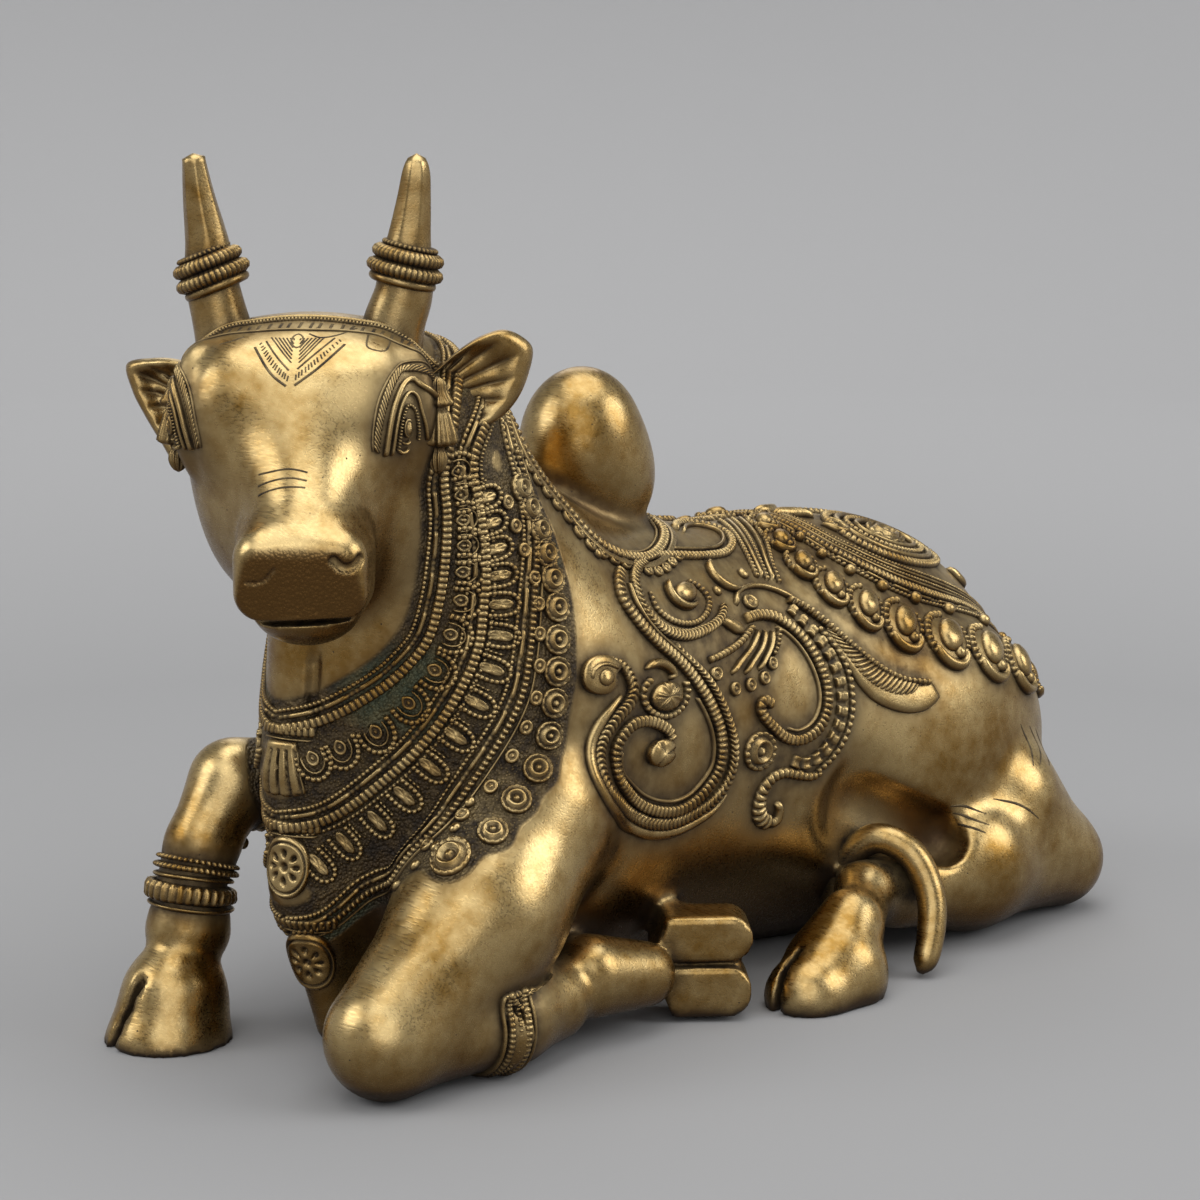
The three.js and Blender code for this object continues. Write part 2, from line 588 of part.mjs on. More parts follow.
// The face: a band across the brow, a pendant below it, a ring round each eye and the ball in it
const EYE = { at: [21, 11], tall: 15.5, broad: 7, lean: 20 };
const BROW_PENDANT = [[-17, 28], [-2, 14], [13, 28]];
function browBand() {
  const places = Array.from({ length: 7 }, (_, i) => {
    const turn = radians(-84 + 28 * i);
    const rise = radians(52 - 22 * Math.sin(turn) ** 2);
    const way = [Math.sin(turn) * Math.cos(rise), -Math.cos(turn) * Math.cos(rise), Math.sin(rise)];
    const middle = [0, 2, 8];
    const [outside, inside] = [head.out(sum(middle, way, 70)), head.out(middle)];
    return meet(outside, sum(inside, outside, -1));
  });
  return band(places, { width: rope.width * 1.7, step: 9 });
}

function eye(side) {
  const lean = radians(EYE.lean);
  const ringAt = Array.from({ length: 8 }, (_, i) => {
    const turn = (2 * Math.PI * i) / 8;
    const [u, v] = [EYE.broad * Math.cos(turn), EYE.tall * Math.sin(turn)];
    return onFace([side * (EYE.at[0] + u * Math.cos(lean) + v * Math.sin(lean)), EYE.at[1] + v * Math.cos(lean)]);
  });
  return [
    band(ringAt, { loops: true, step: 7.5, width: rope.width * 0.9 }),
    stud(onFace([side * (EYE.at[0] + 1), EYE.at[1] - 4]), { long: 6, wide: 4.2 }),
  ];
}

// Slits cut into the cast: between the lips, and between the toes of the hooves
function slit(at, half, turn, frame) {
  const box = new THREE.BoxGeometry(...half.map((v) => v * 2 * part));
  const local = frameAt([0, 0, 0], turn);
  const points = box.attributes.position;
  for (let i = 0; i < points.count; i++) {
    const corner = [points.getX(i), points.getY(i), points.getZ(i)];
    const place = local.out(corner).map((v, n) => v / part + at[n]);
    points.setXYZ(i, ...(frame ? frame.out(place) : place).map((v) => v * part));
  }
  return solid(box);
}

const half = (width) => width / part / 2;
const slits = () => [
  slit([3, -62, -41.6], [22, 12, half(MOUTH_WIDTH)], { roll: -3 }, head),
  slit([-31, -163, 6], [half(CLEFT_WIDTH), 13, 22], { yaw: -6, pitch: 12 }),
  slit([72, -18, 18.6], [8, 26, half(CLEFT_WIDTH)], { yaw: -20 }),
  slit([74, 6, 8], [half(CLEFT_WIDTH), 14, 22], { yaw: 12, pitch: 25 }),
  slit([-74, 6, 8], [half(CLEFT_WIDTH), 14, 22], { yaw: -12, pitch: 25 }),
];

// The ground: everything below it is cut away, so that the casting stands on one flat underside.
function ground() {
  const deep = 60;
  const plate = new THREE.BoxGeometry(LENGTH * 2, LENGTH * 2, deep * part);
  return solid(plate.translate(0, 0, (-deep * part) / 2));
}

function casting() {
  let body = skinNet();
  const onBothSides = (make) => [LEFT, RIGHT].flatMap(make);
  const raised = [
    ...onBothSides(horn), ...[LEFT, RIGHT].map(ear), ...tails(), squareHoof(),
    ...onBothSides(collar), ...pendants(), humpStrap(), ...onBothSides(flankScrolls),
    ...onBothSides(rumpCloth), ...anklets(), browBand(), band(BROW_PENDANT.map(onFace), { step: 9 }),
    ...onBothSides(eye),
  ];
  for (const piece of raised) body = body.add(piece);
  for (const cut of [...slits(), ground()]) body = body.subtract(cut);
  return body;
}

// Fewer triangles for the same form: edges fold up in order of how little each moves the surface.
// An edge on the ground stays on it.
const MOST_TRIANGLES = 9700;
const ON_GROUND = 1e-3;

function planeError(a, b, c) {
  const area = cross(sum(b, a, -1), sum(c, a, -1));
  const twice = size(area);
  if (twice < 1e-9) return new Array(10).fill(0);
  const [x, y, z] = area.map((v) => v / twice);
  const w = -dot([x, y, z], a);
  return [x * x, x * y, x * z, x * w, y * y, y * z, y * w, z * z, z * w, w * w].map((v) => (v * twice) / 2);
}

function errorAt(e, [x, y, z]) {
  return (
    x * (e[0] * x + 2 * (e[1] * y + e[2] * z + e[3])) +
    y * (e[4] * y + 2 * (e[5] * z + e[6])) +
    z * (e[7] * z + 2 * e[8]) + e[9]
  );
}

function flattest(e) {
  const m = new THREE.Matrix3().set(e[0], e[1], e[2], e[1], e[4], e[5], e[2], e[5], e[7]);
  const sizeOfError = (e[0] + e[4] + e[7]) / 3;
  if (Math.abs(m.determinant()) < 1e-4 * sizeOfError ** 3) return null;
  return new THREE.Vector3(-e[3], -e[6], -e[8]).applyMatrix3(m.invert()).toArray();
}

// A queue that gives back its cheapest entry first
class Queue {
  entries = [];
  push(entry) {
    const { entries } = this;
    let i = entries.push(entry) - 1;
    while (i > 0) {
      const above = (i - 1) >> 1;
      if (entries[above].cost <= entry.cost) break;
      entries[i] = entries[above];
      i = above;
    }
    entries[i] = entry;
  }
  pop() {
    const { entries } = this;
    const first = entries[0];
    const last = entries.pop();
    if (!entries.length) return first;
    let i = 0;
    for (;;) {
      let below = 2 * i + 1;
      if (below >= entries.length) break;
      if (below + 1 < entries.length && entries[below + 1].cost < entries[below].cost) below++;
      if (entries[below].cost >= last.cost) break;
      entries[i] = entries[below];
      i = below;
    }
    entries[i] = last;
    return first;
  }
}

function thin(corners, triangles) {
  const facesOf = corners.map(() => new Set());
  const errors = corners.map(() => new Array(10).fill(0));
  const changes = corners.map(() => 0);
  const alive = triangles.map(() => true);
  triangles.forEach((face, n) => {
    const error = planeError(...face.map((v) => corners[v]));
    for (const v of face) {
      facesOf[v].add(n);
      error.forEach((value, i) => (errors[v][i] += value));
    }
  });
  const neighbours = (v) => {
    const found = new Set();
    for (const n of facesOf[v]) for (const other of triangles[n]) if (other !== v) found.add(other);
    return found;
  };
  const grounded = (v) => Math.abs(corners[v][2]) < ON_GROUND;
  const queue = new Queue();
  const offer = (a, b) => {
    const [p, q] = [corners[a], corners[b]];
    const error = errors[a].map((value, i) => value + errors[b][i]);
    const middle = sum(p, sum(q, p, -1), 0.5);
    const span = size(sum(p, q, -1));
    let choices = [p, q, middle];
    const best = flattest(error);
    if (best && size(sum(best, middle, -1)) < span * 1.5) choices.push(best);
    if (grounded(a) !== grounded(b)) choices = [grounded(a) ? p : q];
    if (grounded(a) && grounded(b)) choices = choices.map(([x, y]) => [x, y, 0]);
    const costs = choices.map((place) => errorAt(error, place));
    const least = costs.indexOf(Math.min(...costs));
    const cost = Math.max(costs[least], 0) + span * span * 1e-5;
    queue.push({ cost, a, b, at: choices[least], error, stamp: changes[a] + changes[b] });
  };
  const turnsOver = (v, other, at) => {
    for (const n of facesOf[v]) {
      if (triangles[n].includes(other)) continue;
      const before = triangles[n].map((u) => corners[u]);
      const after = triangles[n].map((u) => (u === v ? at : corners[u]));
      const [old, fresh] = [before, after].map(([a, b, c]) => cross(sum(b, a, -1), sum(c, a, -1)));
      const longest = Math.max(...after.map((u, i) => size(sum(u, after[(i + 1) % 3], -1))));
      if (size(fresh) < 0.02 * longest * longest && size(fresh) < size(old)) return true;
      if (size(old) > 1e-7 && dot(old, fresh) < 0.35 * size(old) * size(fresh)) return true;
    }
    return false;
  };
  corners.forEach((_, v) => neighbours(v).forEach((other) => v < other && offer(v, other)));
  let left = triangles.length;
  while (left > MOST_TRIANGLES && queue.entries.length) {
    const { a, b, at, error, stamp } = queue.pop();
    if (!facesOf[a].size || !facesOf[b].size || stamp !== changes[a] + changes[b]) continue;
    const shared = [...facesOf[a]].filter((n) => facesOf[b].has(n));
    const around = neighbours(b);
    const common = [...neighbours(a)].filter((v) => around.has(v));
    if (shared.length !== 2 || common.length !== 2) continue;
    if (turnsOver(a, b, at) || turnsOver(b, a, at)) continue;
    for (const n of shared) {
      alive[n] = false;
      for (const v of triangles[n]) facesOf[v].delete(n);
    }
    for (const n of facesOf[b]) {
      triangles[n] = triangles[n].map((v) => (v === b ? a : v));
      facesOf[a].add(n);
    }
    facesOf[b].clear();
    corners[a] = at;
    errors[a] = error;
    changes[a]++;
    left -= 2;
    for (const v of neighbours(a)) offer(a, v);
  }
  return triangles.filter((_, n) => alive[n]);
}

// The shell that holds the highest corner: pockets sealed in under a band go.
function outerShell(corners, triangles) {
  const lead = corners.map((_, v) => v);
  const leadOf = (v) => {
    while (lead[v] !== v) v = lead[v] = lead[lead[v]];
    return v;
  };
  for (const [a, b, c] of triangles) {
    lead[leadOf(b)] = leadOf(a);
    lead[leadOf(c)] = leadOf(a);
  }
  const highest = corners.reduce((best, p, v) => (p[2] > corners[best][2] ? v : best), 0);
  return triangles.filter(([a]) => leadOf(a) === leadOf(highest));
}

// A solid back as a three.js geometry, with the origin at the middle of its underside
function geometryOf(made) {
  const mesh = made.getMesh();
  const inThrees = (list) => Array.from({ length: list.length / 3 }, (_, i) => [...list.slice(3 * i, 3 * i + 3)]);
  const corners = inThrees(mesh.vertProperties);
  const triangles = thin(corners, outerShell(corners, inThrees(mesh.triVerts)));
  const geometry = new THREE.BufferGeometry();
  geometry.setAttribute("position", new THREE.Float32BufferAttribute(corners.flat(), 3));
  geometry.setIndex(triangles.flat());
  const used = mergeVertices(geometry.toNonIndexed());
  used.computeBoundingBox();
  const { min, max } = used.boundingBox;
  used.translate(-(min.x + max.x) / 2, -(min.y + max.y) / 2, -min.z);
  used.computeVertexNormals();
  return used;
}

const brass = new THREE.MeshStandardMaterial({ color: 0xa88a4c, roughness: 0.38, metalness: 1 });
const bull = new THREE.Mesh(geometryOf(casting()), brass);
bull.name = "nandi_bull";

const nandi = new THREE.Group();
nandi.add(bull);
export default nandi;
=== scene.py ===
"""A nandi bull cast in brass: the smooth skin of the figure, and the carving laid on it.

The forms are drawn in parts of the figure's length, as signed distances: the bull faces -Y, its left
flank is +X, and +Z is up. The skin is a net of small cells drawn to the surface of those forms, and each
carving is a strip or a disc whose corners are settled on the skin and then raised from it.
"""

import json
import math
from functools import partial

import bpy
import numpy as np
from bpy.props import FloatProperty, FloatVectorProperty, PointerProperty
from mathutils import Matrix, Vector

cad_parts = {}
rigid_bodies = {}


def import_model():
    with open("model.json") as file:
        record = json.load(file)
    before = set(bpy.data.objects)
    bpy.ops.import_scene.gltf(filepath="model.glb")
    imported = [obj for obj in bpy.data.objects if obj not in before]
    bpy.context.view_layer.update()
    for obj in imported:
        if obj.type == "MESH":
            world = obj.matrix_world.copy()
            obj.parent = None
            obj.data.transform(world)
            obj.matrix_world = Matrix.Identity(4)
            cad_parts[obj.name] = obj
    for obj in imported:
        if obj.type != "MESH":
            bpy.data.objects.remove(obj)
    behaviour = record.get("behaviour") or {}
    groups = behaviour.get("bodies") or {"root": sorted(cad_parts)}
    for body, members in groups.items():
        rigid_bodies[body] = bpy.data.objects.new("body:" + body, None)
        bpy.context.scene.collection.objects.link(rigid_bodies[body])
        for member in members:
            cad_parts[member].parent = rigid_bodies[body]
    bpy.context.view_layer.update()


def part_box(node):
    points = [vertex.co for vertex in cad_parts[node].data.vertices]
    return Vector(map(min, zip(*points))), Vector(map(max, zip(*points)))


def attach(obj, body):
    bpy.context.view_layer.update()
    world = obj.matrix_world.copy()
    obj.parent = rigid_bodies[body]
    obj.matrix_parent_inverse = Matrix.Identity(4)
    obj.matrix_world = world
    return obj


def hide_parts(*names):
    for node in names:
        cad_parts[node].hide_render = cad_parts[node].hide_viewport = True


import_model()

bl_info = {
    "name": "Nandi bull",
    "version": (1, 0, 0),
    "blender": (4, 5, 0),
    "location": "View3D > Sidebar > Nandi",
    "description": "Builds the skin and the carving of a cast brass nandi bull",
    "category": "Add Mesh",
}

NODE = "nandi_bull"
BODY = "root"

# The figure is 362 parts long, and its length is the frame's.
PARTS_LONG = 362.1
PARTS_MIDDLE = np.array([0.0, 8.95, 0.0])
NODE_LOW, NODE_HIGH = (np.array(corner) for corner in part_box(NODE))
PART = (NODE_HIGH[1] - NODE_LOW[1]) / PARTS_LONG
ORIGIN = np.array([*(NODE_LOW + NODE_HIGH)[:2] / 2, NODE_LOW[2]])


def to_frame(points):
    """Places in parts as places in the frame, in metres."""
    return (points - PARTS_MIDDLE) * PART + ORIGIN


def linear(code):
    """An sRGB hex colour as linear red, green and blue."""
    shares = [int(code[i : i + 2], 16) / 255 for i in (1, 3, 5)]
    return [s / 12.92 if s <= 0.04045 else ((s + 0.055) / 1.055) ** 2.4 for s in shares]


# Sizes and colours


def length_property(name, description, default):
    return FloatProperty(name=name, description=description, default=default, unit="LENGTH")


def colour_property(name, description, code):
    return FloatVectorProperty(name=name, description=description, default=linear(code), subtype="COLOR")


class NandiSizes(bpy.types.PropertyGroup):
    """Sizes of the carving and of the net that draws the skin."""

    head_cell: length_property("Head cell", "Size of a cell of the net on the head", 0.00068)
    body_cell: length_property("Body cell", "Size of a cell of the net on the body", 0.0017)
    root: length_property("Root", "How deep each carving is rooted in the skin", 0.0009)
    rope_width: length_property("Rope width", "Width of a rope of the collar", 0.0034)
    rope_height: length_property("Rope height", "How far a rope stands off the skin", 0.0017)
    notch: length_property("Notch pitch", "From one notch of a rope to the next", 0.0018)
    ear_thickness: length_property("Ear thickness", "Thickness of an ear at its middle", 0.006)


class NandiColours(bpy.types.PropertyGroup):
    """Colours of the brass and of the stage."""

    brass: colour_property("Brass", "Rubbed brass on the high places", "#CFB57F")
    tarnish: colour_property("Tarnish", "Brass with a thin brown tarnish", "#96743A")
    # Recess: dark oxide, and also painted shade laid in the recesses, round the carving and in the
    # hollows.
    recess: colour_property("Recess", "Dark oxide and painted shade in the recesses", "#2E261E")
    verdigris: colour_property("Verdigris", "A trace of green in the collar", "#6E8468")
    # Underside: painted shade, a brown laid on surfaces that face down and on places shut in by the
    # figure.
    underside: colour_property("Underside", "Painted shade in brown on undersides and hollows", "#634827")
    # Floor and wall: painted light, the floor near the figure darker and the wall paler, as the light
    # falls.
    floor: colour_property("Floor", "The floor near the figure, painted darker than the wall as shade", "#9E9E9F")
    wall: colour_property("Wall", "The wall the floor curves up into, painted paler than the floor as light", "#CBCBCC")


# Vectors


def lengths(v):
    return np.sqrt((v * v).sum(-1))


def units(v):
    return v / (lengths(v)[..., None] + 1e-12)


def turned(p, at, yaw):
    """Places in a frame that stands at a point and is turned by so many degrees about Z."""
    q = p - np.asarray(at, float)
    if not yaw:
        return q
    c, s = math.cos(math.radians(yaw)), math.sin(math.radians(yaw))
    return np.stack([q[:, 0] * c + q[:, 1] * s, q[:, 1] * c - q[:, 0] * s, q[:, 2]], 1)


# Forms, as the distance from each place to them: negative inside


def egg(p, at, radii, yaw=0):
    q = turned(p, at, yaw)
    radii = np.asarray(radii, float)
    near = lengths(q / radii)
    return near * (near - 1) / (lengths(q / radii**2) + 1e-9)


def cone(p, a, b, ra, rb):
    """A cone with round ends: balls of two radii and the skin stretched over both."""
    a, b = np.asarray(a, float), np.asarray(b, float)
    axis = b - a
    long2 = axis @ axis
    taper = ra - rb
    side2 = long2 - taper * taper
    q = p - a
    y = q @ axis
    z = y - long2
    off = q * long2 - y[:, None] * axis
    x2 = (off * off).sum(1)
    k = math.copysign(1, taper) * taper * taper * x2
    past_b = np.sign(z) * side2 * z * z * long2 > k
    before_a = np.sign(y) * side2 * y * y * long2 < k
    side = (np.sqrt(x2 * side2 / long2) + y * taper) / long2 - ra
    at_b = np.sqrt(x2 + z * z * long2) / long2 - rb
    at_a = np.sqrt(x2 + y * y * long2) / long2 - ra
    return np.where(past_b, at_b, np.where(before_a, at_a, side))


def block(p, at, half, rounding, yaw=0):
    over = np.abs(turned(p, at, yaw)) - np.asarray(half, float) + rounding
    return lengths(np.maximum(over, 0)) + np.minimum(over.max(1), 0) - rounding


def blend(a, b, soft):
    near = np.maximum(soft - np.abs(a - b), 0) / soft
    return np.minimum(a, b) - near * near * soft / 4


def carve(a, b, soft):
    return -blend(-a, b, soft)


def limb(p, balls, soft):
    """A chain of cones through balls given as x, y, z, radius."""
    d = None
    for a, b in zip(balls, balls[1:]):
        stretch = cone(p, a[:3], b[:3], a[3], b[3])
        d = stretch if d is None else blend(d, stretch, soft)
    return d


def mirrored(p, side):
    return p * np.array([side, 1.0, 1.0])


HEAD_AT = np.array([3.0, -120.0, 180.0])
HEAD_YAW = 44
# The flat pad of the nose: how far ahead it lies, at which level, and how much it leans back below
PAD_AHEAD = 60.5
PAD_LEVEL = -28
PAD_LEANS = 0.24


def into_head(p):
    return turned(p, HEAD_AT, HEAD_YAW)


def out_of_head(q):
    """Places on the figure from the head's frame, which looks along -y with the bull's left at +x."""
    return turned(np.atleast_2d(np.asarray(q, float)), [0, 0, 0], -HEAD_YAW) + HEAD_AT


def off_nose_pad(q):
    return q[:, 1] + PAD_AHEAD + (q[:, 2] - PAD_LEVEL) * PAD_LEANS


def thigh_hollow(p):
    """The hollow in front of each thigh."""
    return cone(p, [61, 62, 51.5], [64, 92, 37.5], 12.5, 9.5)


def torso_form(p):
    d = blend(egg(p, [0, 48, 70], [56, 106, 69]), egg(p, [0, 100, 65], [54, 84, 69]), 20)
    d = blend(d, egg(p, [0, -56, 78], [52, 62, 76]), 40)
    d = blend(d, egg(p, [0, -12, 95], [42, 58, 46]), 30)
    both = np.column_stack([np.abs(p[:, 0]), p[:, 1:]])
    return carve(d, thigh_hollow(both), 14)


def neck_form(p):
    dewlap = limb(p, [[2, -113, 150, 10], [0, -123, 85, 8], [0, -121, 50, 9], [0, -110, 6, 7]], 8)
    return blend(cone(p, [0, -62, 110], [6, -92, 178], 50, 33), dewlap, 32)


def head_form(p):
    q = into_head(p)
    both = q.copy()
    both[:, 0] = np.abs(q[:, 0])
    d = blend(egg(q, [0, 4, 6], [33, 30, 29]), block(q, [0, 2, 16], [31, 20, 18], 13), 12)
    d = blend(d, egg(q, [0, 0, -16], [31.5, 33, 32]), 18)
    d = blend(d, egg(both, [19, -17, 11], [14, 12, 17]), 9)
    d = blend(d, cone(q, [0, -12, 8], [3, -42, -18], 19, 13.5), 14)
    d = blend(d, cone(q, [0, -10, -20], [3, -42, -35], 21, 12), 12)
    muzzle = block(q, [2.7, -48, -29], [18.4, 14, 12.6], 8)
    muzzle = carve(muzzle, off_nose_pad(q), 1.2)
    muzzle = blend(muzzle, egg(q, [3, -43, -41], [14, 14, 8]), 3)
    d = blend(d, muzzle, 8)
    return blend(d, egg(both, [29, -11, 11], [6.5, 12, 19], 30), 4)


def hump_form(p):
    return blend(egg(p, [0, -8, 169.5], [19.5, 20, 25]), egg(p, [0, 1, 158], [16, 15.5, 18]), 10)


HOOF_YAW = -42
HOOF_BEVEL = 4
# Blocks of the folded hoof: the middle, the half size, and how far the left end leans in with height
HOOF_BLOCKS = [([57.5, -14.5, 25.6], [9.2, 15.6, 7.0], 0.34), ([58, -15, 9.2], [9, 15.2, 7.8], -0.42)]


def hoof_block(p, at, half, lean):
    q = turned(p, at, HOOF_YAW)
    left_end = -q[:, 1] - half[1] + lean * q[:, 2] + abs(lean) * half[2]
    bevel = (q[:, 1] + np.abs(q[:, 2])) * 0.7 - (half[1] + half[2] - HOOF_BEVEL) * 0.7
    return carve(carve(block(p, at, half, 1.2, HOOF_YAW), -left_end, 1), -bevel, 2)


def folded_foreleg_form(p):
    d = limb(p, [[37, -70, 68, 28], [47, -96, 45, 22.5], [50, -135, 18, 17.5]], 12)
    shin = limb(p, [[50, -135, 17, 16], [55, -94, 16, 13.5], [53, -74, 16, 12.2]], 6)
    shin = blend(shin, cone(p, [53, -58, 20], [56, -38, 17], 12.6, 10), 4)
    d = blend(d, shin, 4)
    hoof = block(p, [56.5, -13.5, 17], [7.5, 12.5, 8], 1.5, HOOF_YAW)
    for at, half, lean in HOOF_BLOCKS:
        hoof = np.minimum(hoof, hoof_block(p, at, half, lean))
    return blend(d, hoof, 1.5)


def raised_foreleg_form(p):
    d = limb(p, [[-26, -66, 71, 25], [-34, -90, 71, 15], [-40, -115, 73, 12.8]], 6)
    d = blend(d, limb(p, [[-41, -117, 73.5, 12.5], [-40, -129, 56, 10.6], [-40.6, -133, 44, 10.5]], 4), 4)
    d = blend(d, cone(p, [-40.6, -134, 33.5], [-40.5, -134.5, 31], 12.4, 12.8), 2.5)
    return blend(d, limb(p, [[-39, -137, 27, 9], [-38, -142, 12, 15.4], [-37.4, -145, -3, 19.4]], 3), 2)


def hindleg_form(p, side):
    m = mirrored(p, side)
    shank = limb(m, [[50, 138, 40, 24], [58, 165, 17, 14]], 10)
    shank = blend(shank, limb(m, [[57, 163, 17, 16], [56, 115, 24, 21], [58, 78, 22, 12.5]], 10), 8)
    d = blend(egg(m, [39, 112, 60], [27, 58, 46]), shank, 6)
    d = carve(d, thigh_hollow(m), 4)
    d = blend(d, cone(m, [58, 80, 22], [61, 60, 25], 11.5, 9.8), 4)
    d = blend(d, cone(m, [62, 58, 25], [72, 42, 20], 8.5, 9), 4)
    hoof = limb(m, [[71, 40, 22, 9.5], [74, 30, 9, 15.5]], 4)
    hoof = blend(hoof, cone(m, [74, 30, 5], [76, 15, 3], 16, 13.5), 4)
    return blend(d, hoof, 3)


LEFT, RIGHT = 1, -1

# Each form with the softness of its joint and a ball around it, as x, y, z, radius
JOINED_FORMS = [
    (neck_form, 24, (0, -90, 90, 125)),
    (head_form, 8, (18, -137, 178, 85)),
    (hump_form, 6, (0, -5, 165, 36)),
    (folded_foreleg_form, 7, (50, -78, 45, 100)),
    (raised_foreleg_form, 4, (-34, -110, 45, 85)),
    (lambda p: hindleg_form(p, LEFT), 8, (55, 100, 50, 115)),
    (lambda p: hindleg_form(p, RIGHT), 8, (-55, 100, 50, 115)),
]


def figure(p):
    """The distance to the smooth figure."""
    d = torso_form(p)
    for form, soft, (x, y, z, reach) in JOINED_FORMS:
        near = lengths(p - [x, y, z]) - reach < d + soft
        if near.any():
            d[near] = blend(d[near], form(p[near]), soft)
    return d


CHUNK = 24000


def in_chunks(field, p):
    if len(p) <= CHUNK:
        return field(p)
    return np.concatenate([field(p[i : i + CHUNK]) for i in range(0, len(p), CHUNK)])


PROBE = 0.3
CORNERS_OF_PROBE = np.array([[1, 1, 1], [1, -1, -1], [-1, 1, -1], [-1, -1, 1]], float)


def slopes(field, p):
    """The field's slope at each place, from four probes round it."""
    values = [in_chunks(field, p + corner * PROBE)[:, None] * corner for corner in CORNERS_OF_PROBE]
    return sum(values) / (4 * PROBE)


def settled(field, p, steps=3, reach=None):
    """The nearest places on the field's surface."""
    q = p.copy()
    for _ in range(steps):
        g = slopes(field, q)
        d = in_chunks(field, q)
        move = -g * (d / np.maximum((g * g).sum(1), 0.2))[:, None]
        if reach:
            move *= np.minimum(1, reach / (lengths(move) + 1e-9))[:, None]
        q += move
    return q


# Steps of a line towards the figure, and the share of the distance left that each step goes
LINE_STEPS = 26
LINE_SHARE = 0.9


def met(start, way):
    """Where lines from outside first meet the smooth figure."""
    q = np.array(start, float)
    way = units(np.asarray(way, float))
    for _ in range(LINE_STEPS):
        q += way * (in_chunks(figure, q) * LINE_SHARE)[:, None]
    return settled(figure, q, 1)


BARREL_LEVEL = 70
BARREL_REACH = 120


def on_barrel(places):
    """Places on the left flank given as y and degrees round the body from its side towards its back."""
    places = np.atleast_2d(np.asarray(places, float))
    turn = np.radians(places[:, 1])
    out = np.stack([np.cos(turn), np.zeros(len(places)), np.sin(turn)], 1)
    middle = np.stack([np.zeros(len(places)), places[:, 0], np.full(len(places), BARREL_LEVEL)], 1)
    return met(middle + out * BARREL_REACH, -out)


def on_face(places):
    """Places on the front of the head given as x and z in its own frame."""
    places = np.atleast_2d(np.asarray(places, float))
    front = np.stack([places[:, 0], np.full(len(places), -90.0), places[:, 1]], 1)
    way = out_of_head([0, 1, 0]) - HEAD_AT
    return met(out_of_head(front), np.repeat(way, len(places), 0))


# Smooth lines


def to_plane(places):
    return np.hstack([places, np.zeros((len(places), 1))])


def smooth_line(points, step, loops=False):
    """Places about a step apart on a smooth line through the given ones; further columns go along."""
    points = np.asarray(points, float)
    if loops:
        points = np.vstack([points[-1:], points, points[:2]])
    else:
        points = np.vstack([2 * points[0] - points[1], points, 2 * points[-1] - points[-2]])
    fine = []
    share = np.linspace(0, 1, 16, endpoint=False)[:, None]
    for p0, p1, p2, p3 in zip(points, points[1:], points[2:], points[3:]):
        pairs = ((p0, p1), (p1, p2), (p2, p3))
        t0, t1, t2, t3 = np.cumsum([0] + [max(lengths((b - a)[:3]), 1e-6) ** 0.5 for a, b in pairs])
        t = t1 + (t2 - t1) * share
        a1 = ((t1 - t) * p0 + (t - t0) * p1) / (t1 - t0)
        a2 = ((t2 - t) * p1 + (t - t1) * p2) / (t2 - t1)
        a3 = ((t3 - t) * p2 + (t - t2) * p3) / (t3 - t2)
        b1 = ((t2 - t) * a1 + (t - t0) * a2) / (t2 - t0)
        b2 = ((t3 - t) * a2 + (t - t1) * a3) / (t3 - t1)
        fine.append(((t2 - t) * b1 + (t - t1) * b2) / (t2 - t1))
    fine = np.vstack(fine + [points[-2:-1]])
    run = np.concatenate([[0], np.cumsum(lengths(np.diff(fine[:, :3], axis=0)))])
    count = max(2, round(run[-1] / step))
    stops = np.linspace(0, run[-1], count + 1)
    line = np.stack([np.interp(stops, run, column) for column in fine.T], 1)
    return line[:-1] if loops else line


# Meshes


def on_ground(points):
    """The same places, none of them below the ground."""
    return np.column_stack([points[:, :2], np.maximum(points[:, 2], 0)])


def keep_layer(piece, name, values):
    layer = piece.data.attributes.new(name, "FLOAT", "POINT")
    layer.data.foreach_set("value", values.astype(np.float32))


def mesh_object(name, points, groups, material, worn=None):
    """A piece of the figure from corners in parts and groups of faces, each an array of corner numbers.
    Worn says for each corner how far it stands out and is rubbed, from none to all."""
    mesh = bpy.data.meshes.new(name)
    mesh.vertices.add(len(points))
    mesh.vertices.foreach_set("co", to_frame(points).astype(np.float32).ravel())
    groups = [np.asarray(group) for group in groups if len(group)]
    corners = np.concatenate([group.ravel() for group in groups]).astype(np.int32)
    sizes = np.concatenate([np.full(len(group), group.shape[1]) for group in groups])
    starts = np.concatenate([[0], np.cumsum(sizes)[:-1]]).astype(np.int32)
    mesh.loops.add(len(corners))
    mesh.loops.foreach_set("vertex_index", corners)
    mesh.polygons.add(len(sizes))
    mesh.polygons.foreach_set("loop_start", starts)
    mesh.polygons.foreach_set("use_smooth", np.ones(len(sizes), bool))
    mesh.update(calc_edges=True)
    mesh.validate()
    piece = bpy.data.objects.new(name, mesh)
    keep_layer(piece, "worn", np.ones(len(points)) if worn is None else worn)
    bpy.context.scene.collection.objects.link(piece)
    mesh.materials.append(material)
    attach(piece, BODY)
    return piece


def faces_between(number):
    """Four-sided faces between each row of corner numbers and the next, closed round the columns."""
    here, ahead = number[:-1], number[1:]
    return np.stack([here, ahead, np.roll(ahead, -1, 1), np.roll(here, -1, 1)], -1).reshape(-1, 4)


TURNED_OVER = [0, 3, 2, 1]


